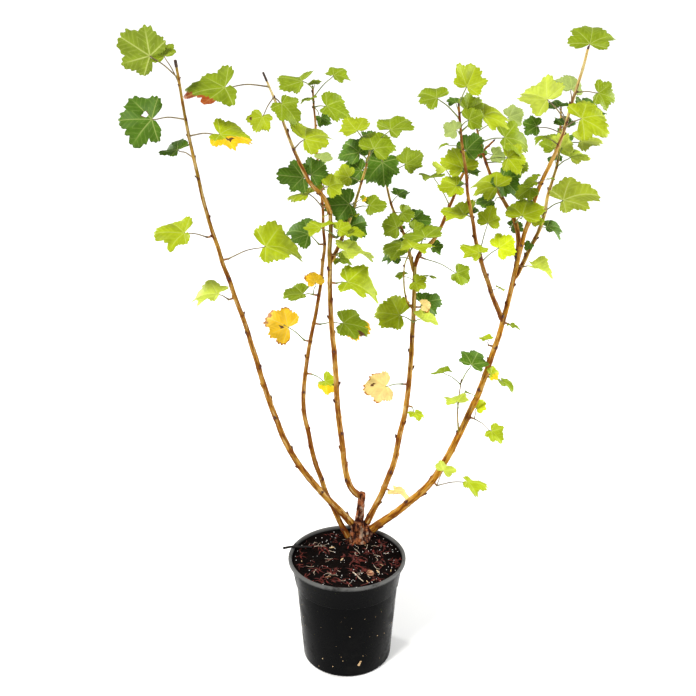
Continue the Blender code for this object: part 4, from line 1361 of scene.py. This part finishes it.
def make_leaves(name, limb, rows):
    """All leaves of one limb, with their stalks and spurs, in the masses of the solids."""
    bare = LIMBS[name][-1]
    leaves = mesh_with_chart("veins")
    stalks = bmesh.new()
    spurs = bmesh.new()
    slots = Slots()
    masses = []
    leafy = [row for row in rows if row[0] > bare]
    if leafy:
        masses.append((name + "_leaves", leafy, None))
    for index, share in enumerate(sorted({row[0] for row in rows if row[0] <= bare}), 1):
        spur_rows = [row for row in rows if row[0] == share]
        masses.append((f"{name}_spur_{index}", spur_rows, spur_of(limb, share, spur_rows)))
    for mass, mass_rows, spur in masses:
        solid = BVHTree.FromObject(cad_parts[mass], bpy.context.evaluated_depsgraph_get())
        rng = random.Random(mass)
        if spur:
            add_spur(spurs, *spur)
        for row, turns in with_companions(mass_rows, rng):
            node = limb.at_share(row[0])
            blade = Blade(*place_of_leaf(solid, node, row, turns, rng))
            add_leaf(leaves, slots, blade, row[-1], LEAF_MARKS.get((name, *row[:2])))
            joint = spur[0] + spur[1] * (SPUR_LENGTH - 1) if spur else node
            add_stalk(stalks, joint, blade)
    replaced = [mass for mass, _, _ in masses]
    finish_piece(name + "_foliage", leaves, slots.names, replaced)
    stalk = "pink_stalk" if name in PINK_STALKS else "green_stalk"
    finish_piece(name + "_stalks", recalculated(stalks), [stalk], replaced)
    if spurs.verts:
        finish_piece(name + "_spurs", recalculated(spurs), ["spur_bark"], replaced)
    else:
        spurs.free()


def make_base(limbs):
    """The stool, the cut stub and the feet of the canes as one gnarled piece of old wood."""
    wood = bmesh.new()
    for node in ("stool", "cut_stub"):
        wood.from_mesh(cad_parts[node].data)
    bmesh.ops.scale(wood, vec=(1 / MM, 1 / MM, 1 / MM), verts=wood.verts)
    bmesh.ops.remove_doubles(wood, verts=wood.verts, dist=MERGE)
    for name, limb in limbs.items():
        if LIMBS[name][0] != "stool":
            continue
        way = Way([limb.at(0) - limb.heading(0) * 8, *(limb.at(distance) for distance in (6, 14, 22))])
        add_sleeve(wood, way, *FOOT_GRID, lambda at, turn: limb.radius(at) * (1.12 - 0.006 * at))
    rough = placed("woody_base_rough", in_metres("woody_base", wood))
    remesh = rough.modifiers.new("even", "REMESH")
    remesh.mode = "VOXEL"
    remesh.voxel_size = BASE_VOXEL * MM
    smooth = rough.modifiers.new("soft", "SMOOTH")
    smooth.factor = BASE_SOFTENING
    smooth.iterations = 4
    bpy.context.view_layer.update()
    evaluated = rough.evaluated_get(bpy.context.evaluated_depsgraph_get())
    base = bmesh.new()
    base.from_mesh(evaluated.to_mesh())
    evaluated.to_mesh_clear()
    bpy.data.objects.remove(rough, do_unlink=True)
    bmesh.ops.scale(base, vec=(1 / MM, 1 / MM, 1 / MM), verts=base.verts)
    base.normal_update()
    shifts = []
    for corner in base.verts:
        spot = corner.co
        level = min(1.0, (spot.z - SOIL_TOP - 1) / 4)
        ridges = noise.turbulence(Vector((spot.x / 5, spot.y / 5, spot.z / 11)), 4, False) - 0.9
        knots = noise.noise(spot / 7)
        shifts.append(corner.normal * BARK_DEPTH * max(level, 0) * (1.3 * ridges + 1.1 * knots))
    for corner, shift in zip(base.verts, shifts):
        corner.co += shift
    finish_piece("woody_base", base, ["stool_bark"], ["stool", "cut_stub"])


def make_plant():
    limbs = grow_limbs()
    for name, limb in limbs.items():
        if name == "cut_stub":
            continue
        rows = LEAVES.get(name, ())
        skin = Skin(name, limb, bud_places(limb, rows))
        replaced = [name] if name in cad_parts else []
        make_bark(skin, LIMB_BARK.get(name, "tan_bark"), replaced)
        make_buds(skin, [row[0] * limb.length for row in rows])
        if rows:
            make_leaves(name, limb, rows)
    make_pegs(limbs)
    make_base(limbs)


def arc(centre, radius, start, end, steps):
    """Points of an arc in the section plane, from start to end in degrees."""
    angles = [math.radians(start + (end - start) * index / steps) for index in range(steps + 1)]
    spokes = [around(radius, angle) for angle in angles]
    return [(centre[0] + x, centre[1] + y) for x, y in spokes]


def pot_profile():
    """The pot's section: from the axis under its floor, up outside, over the rolled rim, down inside."""
    step_height = POT_HEIGHT - COLLAR_DEPTH
    edge_start = BODY_LOW_RADIUS - BASE_ROUND
    foot = [(0, RECESS), (RECESS_RADIUS, RECESS), (RECESS_RADIUS + 1.5, 0), (edge_start, 0)]
    edge = arc((edge_start, BASE_ROUND), BASE_ROUND, -90, -3, 7)
    wall_top = COLLAR_LOW_RADIUS - COLLAR_STEP
    step = [(wall_top, step_height - 3), *arc((wall_top + 1.2, step_height - 1.6), 1.2, 180, 90, 4)]
    step += arc((COLLAR_LOW_RADIUS - 0.8, step_height + 0.9), 0.8, -60, 0, 4)
    lip_low = POT_HEIGHT - LIP_HEIGHT
    neck = [(COLLAR_TOP_RADIUS - 0.4, lip_low - 2), (COLLAR_TOP_RADIUS + 0.3, lip_low + 0.2)]
    roll = arc((RIM_RADIUS - ROLL_LOW, lip_low + ROLL_LOW), ROLL_LOW, -90, 0, 6)
    roll += arc((RIM_RADIUS - ROLL_TOP, POT_HEIGHT - ROLL_TOP), ROLL_TOP, 0, 90, 8)
    inner = arc((COLLAR_TOP_RADIUS + 0.6, POT_HEIGHT - ROLL_INNER), ROLL_INNER, 90, 180, 6)
    inside = [
        (COLLAR_TOP_RADIUS - WALL, lip_low - 2),
        (COLLAR_LOW_RADIUS - WALL, step_height),
        (wall_top - WALL, step_height - 3),
        (BODY_LOW_RADIUS - WALL, 6),
        (BODY_LOW_RADIUS - BASE_EDGE - WALL, FLOOR + 0.9),
        (0, FLOOR + 0.9),
    ]
    return foot + edge + step + neck + roll + inner + inside


def turned(profile):
    """A solid of revolution about the upright axis."""
    solid = bmesh.new()
    points = [solid.verts.new((radius, 0, height)) for radius, height in profile]
    edges = [solid.edges.new(pair) for pair in zip(points, points[1:])]
    turn = {"cent": (0, 0, 0), "axis": (0, 0, 1), "angle": math.tau, "steps": POT_STEPS}
    bmesh.ops.spin(solid, geom=points + edges, use_merge=True, **turn)
    bmesh.ops.remove_doubles(solid, verts=solid.verts, dist=MERGE)
    return recalculated(solid)


def make_pot():
    """The moulded pot, with its holes cut through the floor."""
    pot = finish_piece("moulded_pot", turned(pot_profile()), ["black_plastic"], ["pot"])
    plugs = bmesh.new()
    for index in range(DRAIN_HOLES):
        place = (*around(DRAIN_CIRCLE, math.tau * (index + 0.5) / DRAIN_HOLES), FLOOR / 2)
        bmesh.ops.create_cone(
            plugs,
            cap_ends=True,
            segments=DRAIN_SIDES,
            radius1=DRAIN_RADIUS,
            radius2=DRAIN_RADIUS,
            depth=5 * FLOOR,
            matrix=Matrix.Translation(place),
        )
    cutter = placed("drain_plugs", in_metres("drain_plugs", plugs))
    holes = pot.modifiers.new("holes", "BOOLEAN")
    holes.operation = "DIFFERENCE"
    holes.object = cutter
    holes.solver = "EXACT"
    bpy.context.view_layer.update()
    cut = bpy.data.meshes.new_from_object(pot.evaluated_get(bpy.context.evaluated_depsgraph_get()))
    pot.modifiers.clear()
    pot.data = cut
    bpy.data.objects.remove(cutter, do_unlink=True)
    pot.data.shade_smooth()
    pot.data.set_sharp_from_angle(angle=SHARP_EDGE)


def ground_height(x, y):
    """The height of the compost's surface: lumpy, and a little higher round the stool."""
    lumps = 0.9 * noise.noise(Vector((x / LUMP_WIDTH, y / LUMP_WIDTH, 5)))
    lumps += 0.5 * noise.noise(Vector((x / CLOD_WIDTH, y / CLOD_WIDTH, 1)))
    crumbs = 0.35 * noise.turbulence(Vector((x / CRUMB_WIDTH, y / CRUMB_WIDTH, 9)), 3, False)
    mound = math.exp(-((math.hypot(x - STOOL_CENTRE[0], y - STOOL_CENTRE[1]) / MOUND_WIDTH) ** 2))
    return SOIL_TOP + SOIL_RISE * (0.35 + 0.45 * lumps + 0.5 * mound) + crumbs


def make_compost():
    """The root ball's compost, with a crumbled surface."""
    outer = COLLAR_TOP_RADIUS - WALL - 0.7
    side = [
        (outer, SOIL_TOP - 1),
        (COLLAR_LOW_RADIUS - WALL - 0.6, POT_HEIGHT - COLLAR_DEPTH),
        (COLLAR_LOW_RADIUS - COLLAR_STEP - WALL - 0.6, POT_HEIGHT - COLLAR_DEPTH - 3),
        (BODY_LOW_RADIUS - WALL - 0.6, 6.5),
        (BODY_LOW_RADIUS - BASE_EDGE - WALL - 0.8, FLOOR + 1.2),
        (0, FLOOR + 1.2),
    ]
    rows = SOIL_RINGS + len(side)

    def place(u, v):
        row = round(v * rows)
        angle = math.tau * u
        if row > SOIL_RINGS:
            radius, height = side[row - SOIL_RINGS - 1]
            return Vector((*around(radius, angle), height))
        x, y = around(outer * row / SOIL_RINGS, angle)
        return Vector((x, y, ground_height(x, y)))

    piece = bmesh.new()
    add_sheet(piece, SOIL_SECTORS, rows, place)
    finish_piece("compost", recalculated(piece), ["compost"], ["soil"])


def spot_on_ground(dice, reach=LITTER_REACH):
    """A place on the compost, clear of the stool."""
    while True:
        radius = reach * math.sqrt(dice.random())
        x, y = around(radius, dice.uniform(0, math.tau))
        if math.hypot(x - STOOL_CENTRE[0], y - STOOL_CENTRE[1]) > STOOL_REACH:
            return x, y


def patch_of_ground(dice):
    """A place on the compost where litter has gathered."""
    while True:
        x, y = spot_on_ground(dice)
        if noise.noise(Vector((x / PATCH_WIDTH, y / PATCH_WIDTH, 3))) > dice.uniform(-0.15, 0.3):
            return x, y


def add_lump(piece, centre, size, dice, flat):
    """A small irregular lump."""
    corners = bmesh.ops.create_icosphere(piece, subdivisions=1, radius=1)["verts"]
    angle = dice.uniform(0, math.tau)
    turn = Matrix.Rotation(angle, 3, Vector((dice.uniform(-1, 1), dice.uniform(-1, 1), 1)))
    stretch = Vector((dice.uniform(0.7, 1.3), dice.uniform(0.6, 1.1), flat * dice.uniform(0.7, 1.2)))
    for corner in corners:
        shape = Vector((corner.co.x * stretch.x, corner.co.y * stretch.y, corner.co.z * stretch.z))
        corner.co = centre + turn @ shape * size * dice.uniform(0.8, 1.15)


def add_strip(piece, centre, heading, length, width, thickness, bend, dice):
    """A thin bent strip of bark or wood that lies on the ground."""
    tilt = dice.uniform(-0.5, 0.5)

    def place(u, v):
        along = (u - 0.5) * length
        aside = (v - 0.5) * width * (1 - 0.6 * abs(2 * u - 1) ** 2)
        curve = bend * math.sin(math.pi * u) * length
        x = centre[0] + along * math.cos(heading) - (aside + curve) * math.sin(heading)
        y = centre[1] + along * math.sin(heading) + (aside + curve) * math.cos(heading)
        lift = 0.4 + 0.06 * length * math.sin(math.pi * u) * (1 + tilt) + tilt * aside
        return Vector((x, y, ground_height(x, y) + lift))

    faces = add_sheet(piece, 7, 2, place)
    bmesh.ops.solidify(piece, geom=faces, thickness=thickness)


def add_rootlet(piece, dice):
    """A thin pale root that winds over the crumbs."""
    x, y = spot_on_ground(dice, INNER_REACH)
    heading = dice.uniform(0, math.tau)
    bend = dice.uniform(-0.5, 0.5)
    points = []
    for _ in range(dice.randint(3, 6)):
        points.append(Vector((x, y, ground_height(x, y) + dice.uniform(0.3, 1.5))))
        heading += bend + dice.uniform(-0.3, 0.3)
        x += 3.2 * math.cos(heading)
        y += 3.2 * math.sin(heading)
    way = Way(smooth_path(points, 4))
    thick = dice.uniform(0.2, 0.42)
    add_sleeve(piece, way, 5, len(way.points), lambda distance, angle: thick)


def make_litter():
    """Fibres, roots, crumbs, chips and perlite on the compost, and the stick over the rim."""
    dice = random.Random("litter")
    fibres = bmesh.new()
    for _ in range(FIBRES):
        spot = patch_of_ground(dice)
        turn = dice.uniform(0, math.tau)
        width = dice.uniform(0.7, 2.2)
        add_strip(fibres, spot, turn, dice.uniform(5, 19), width, 0.5, dice.uniform(-0.2, 0.2), dice)
    finish_piece("bark_fibres", recalculated(fibres), ["red_fibre"])
    roots = bmesh.new()
    for _ in range(ROOTLETS):
        add_rootlet(roots, dice)
    twig = Way([Vector((x, y, ground_height(x, y) + 1.2)) for x, y in PALE_TWIG])
    add_sleeve(roots, twig, 7, 12, lambda at, turn: 1.05 - 0.012 * at + 0.12 * math.sin(at))
    finish_piece("rootlets", recalculated(roots), ["root_skin"])
    for name, finish, count, sizes, rise, flat in LUMPS:
        lumps = bmesh.new()
        for _ in range(count):
            x, y = spot_on_ground(dice)
            size = dice.uniform(*sizes)
            add_lump(lumps, Vector((x, y, ground_height(x, y) + size * rise)), size, dice, flat)
        finish_piece(name, recalculated(lumps), [finish])
    chips = bmesh.new()
    for _ in range(CHIPS):
        spot = spot_on_ground(dice, INNER_REACH)
        turn = dice.uniform(0, math.tau)
        add_strip(chips, spot, turn, dice.uniform(4, 9), dice.uniform(1.2, 2.6), 0.7, 0.02, dice)
    finish_piece("pale_chips", recalculated(chips), ["tan_chip"])
    broad = bmesh.new()
    for spot, turn, length, width in LARGE_CHIPS:
        add_strip(broad, spot, math.radians(turn), length, width, 1.1, 0.03, dice)
    finish_piece("broad_chips", recalculated(broad), ["brown_chip"])
    stick = bmesh.new()
    way = Way(smooth_path([Vector(point) for point in STICK], 5))
    add_sleeve(stick, way, 8, 18, lambda at, turn: 1.5 + 0.012 * at + 0.12 * math.sin(at))
    finish_piece("stick_over_rim", recalculated(stick), ["black_stick"])


def on_wall(angle, height, out):
    """A place on the pot's wall below its collar."""
    share = height / (POT_HEIGHT - COLLAR_DEPTH)
    radius = BODY_LOW_RADIUS + (COLLAR_LOW_RADIUS - COLLAR_STEP - BODY_LOW_RADIUS) * share + out
    return Vector((*around(radius, angle), height))


def make_specks():
    """Splashed crumbs that stick to the pot's wall, with larger ones low on its front."""
    dice = random.Random("specks")
    crumbs = bmesh.new()
    for _ in range(SPECKS):
        angle = dice.uniform(0, math.tau)
        height = dice.uniform(8, POT_HEIGHT - COLLAR_DEPTH - 8)
        add_lump(crumbs, on_wall(angle, height, 0.1), dice.uniform(0.3, 0.8), dice, SPECK_FLATNESS)
    for angle, height, size in FRONT_SPECKS:
        add_lump(crumbs, on_wall(math.radians(angle), height, 0.3), size, dice, SPECK_FLATNESS)
    finish_piece("wall_specks", recalculated(crumbs), ["tan_chip"])


def add_lamp(lamp, place):
    """A lamp at its place, turned to the middle of the plant."""
    holder = placed(lamp.name, lamp)
    holder.location = place
    aim = Vector(LIGHT_AIM) - Vector(place)
    holder.rotation_euler = aim.to_track_quat("-Z", "Y").to_euler()


def make_stage():
    """A white floor, soft daylight from the upper left, side panels for the pot's gloss, and a camera."""
    floor = bmesh.new()
    level = Matrix.Translation((0, 0, -FLOOR_DROP))
    bmesh.ops.create_grid(floor, x_segments=1, y_segments=1, size=FLOOR_REACH, matrix=level)
    mesh = in_metres("floor", floor)
    pale = Finish("pale_floor", Specular_IOR_Level=0.0)
    speckle = pale.grain(400, 2)
    mesh.materials.append(pale.done(pale.mix(speckle, (0.90, 0.90, 0.90), (0.93, 0.93, 0.93)), 0.9))
    placed("floor", mesh)
    world = bpy.data.worlds.new("studio")
    world.use_nodes = True
    sky = world.node_tree.nodes["Background"]
    sky.inputs["Color"].default_value = (1, 1, 1, 1)
    sky.inputs["Strength"].default_value = WORLD_LIGHT
    bpy.context.scene.world = world
    sun = bpy.data.lights.new("sun", "SUN")
    sun.energy = SUN_POWER
    sun.angle = math.radians(SUN_WIDTH)
    sun.color = SUN_COLOUR
    add_lamp(sun, SUN_PLACE)
    for name, place, size, power in PANELS:
        panel = bpy.data.lights.new(name, "AREA")
        panel.shape = "RECTANGLE"
        panel.size, panel.size_y = size
        panel.energy = power
        add_lamp(panel, place)
    lens = bpy.data.cameras.new("camera")
    lens.lens = LENS
    lens.sensor_width = SENSOR
    camera = placed("camera", lens)
    camera.location = CAMERA_PLACE
    camera.rotation_euler = (math.pi / 2 - CAMERA_DOWN, 0, 0)
    bpy.context.scene.camera = camera
    bpy.context.scene.view_settings.view_transform = "Standard"


make_stage()
make_pot()
make_compost()
make_litter()
make_specks()
make_plant()
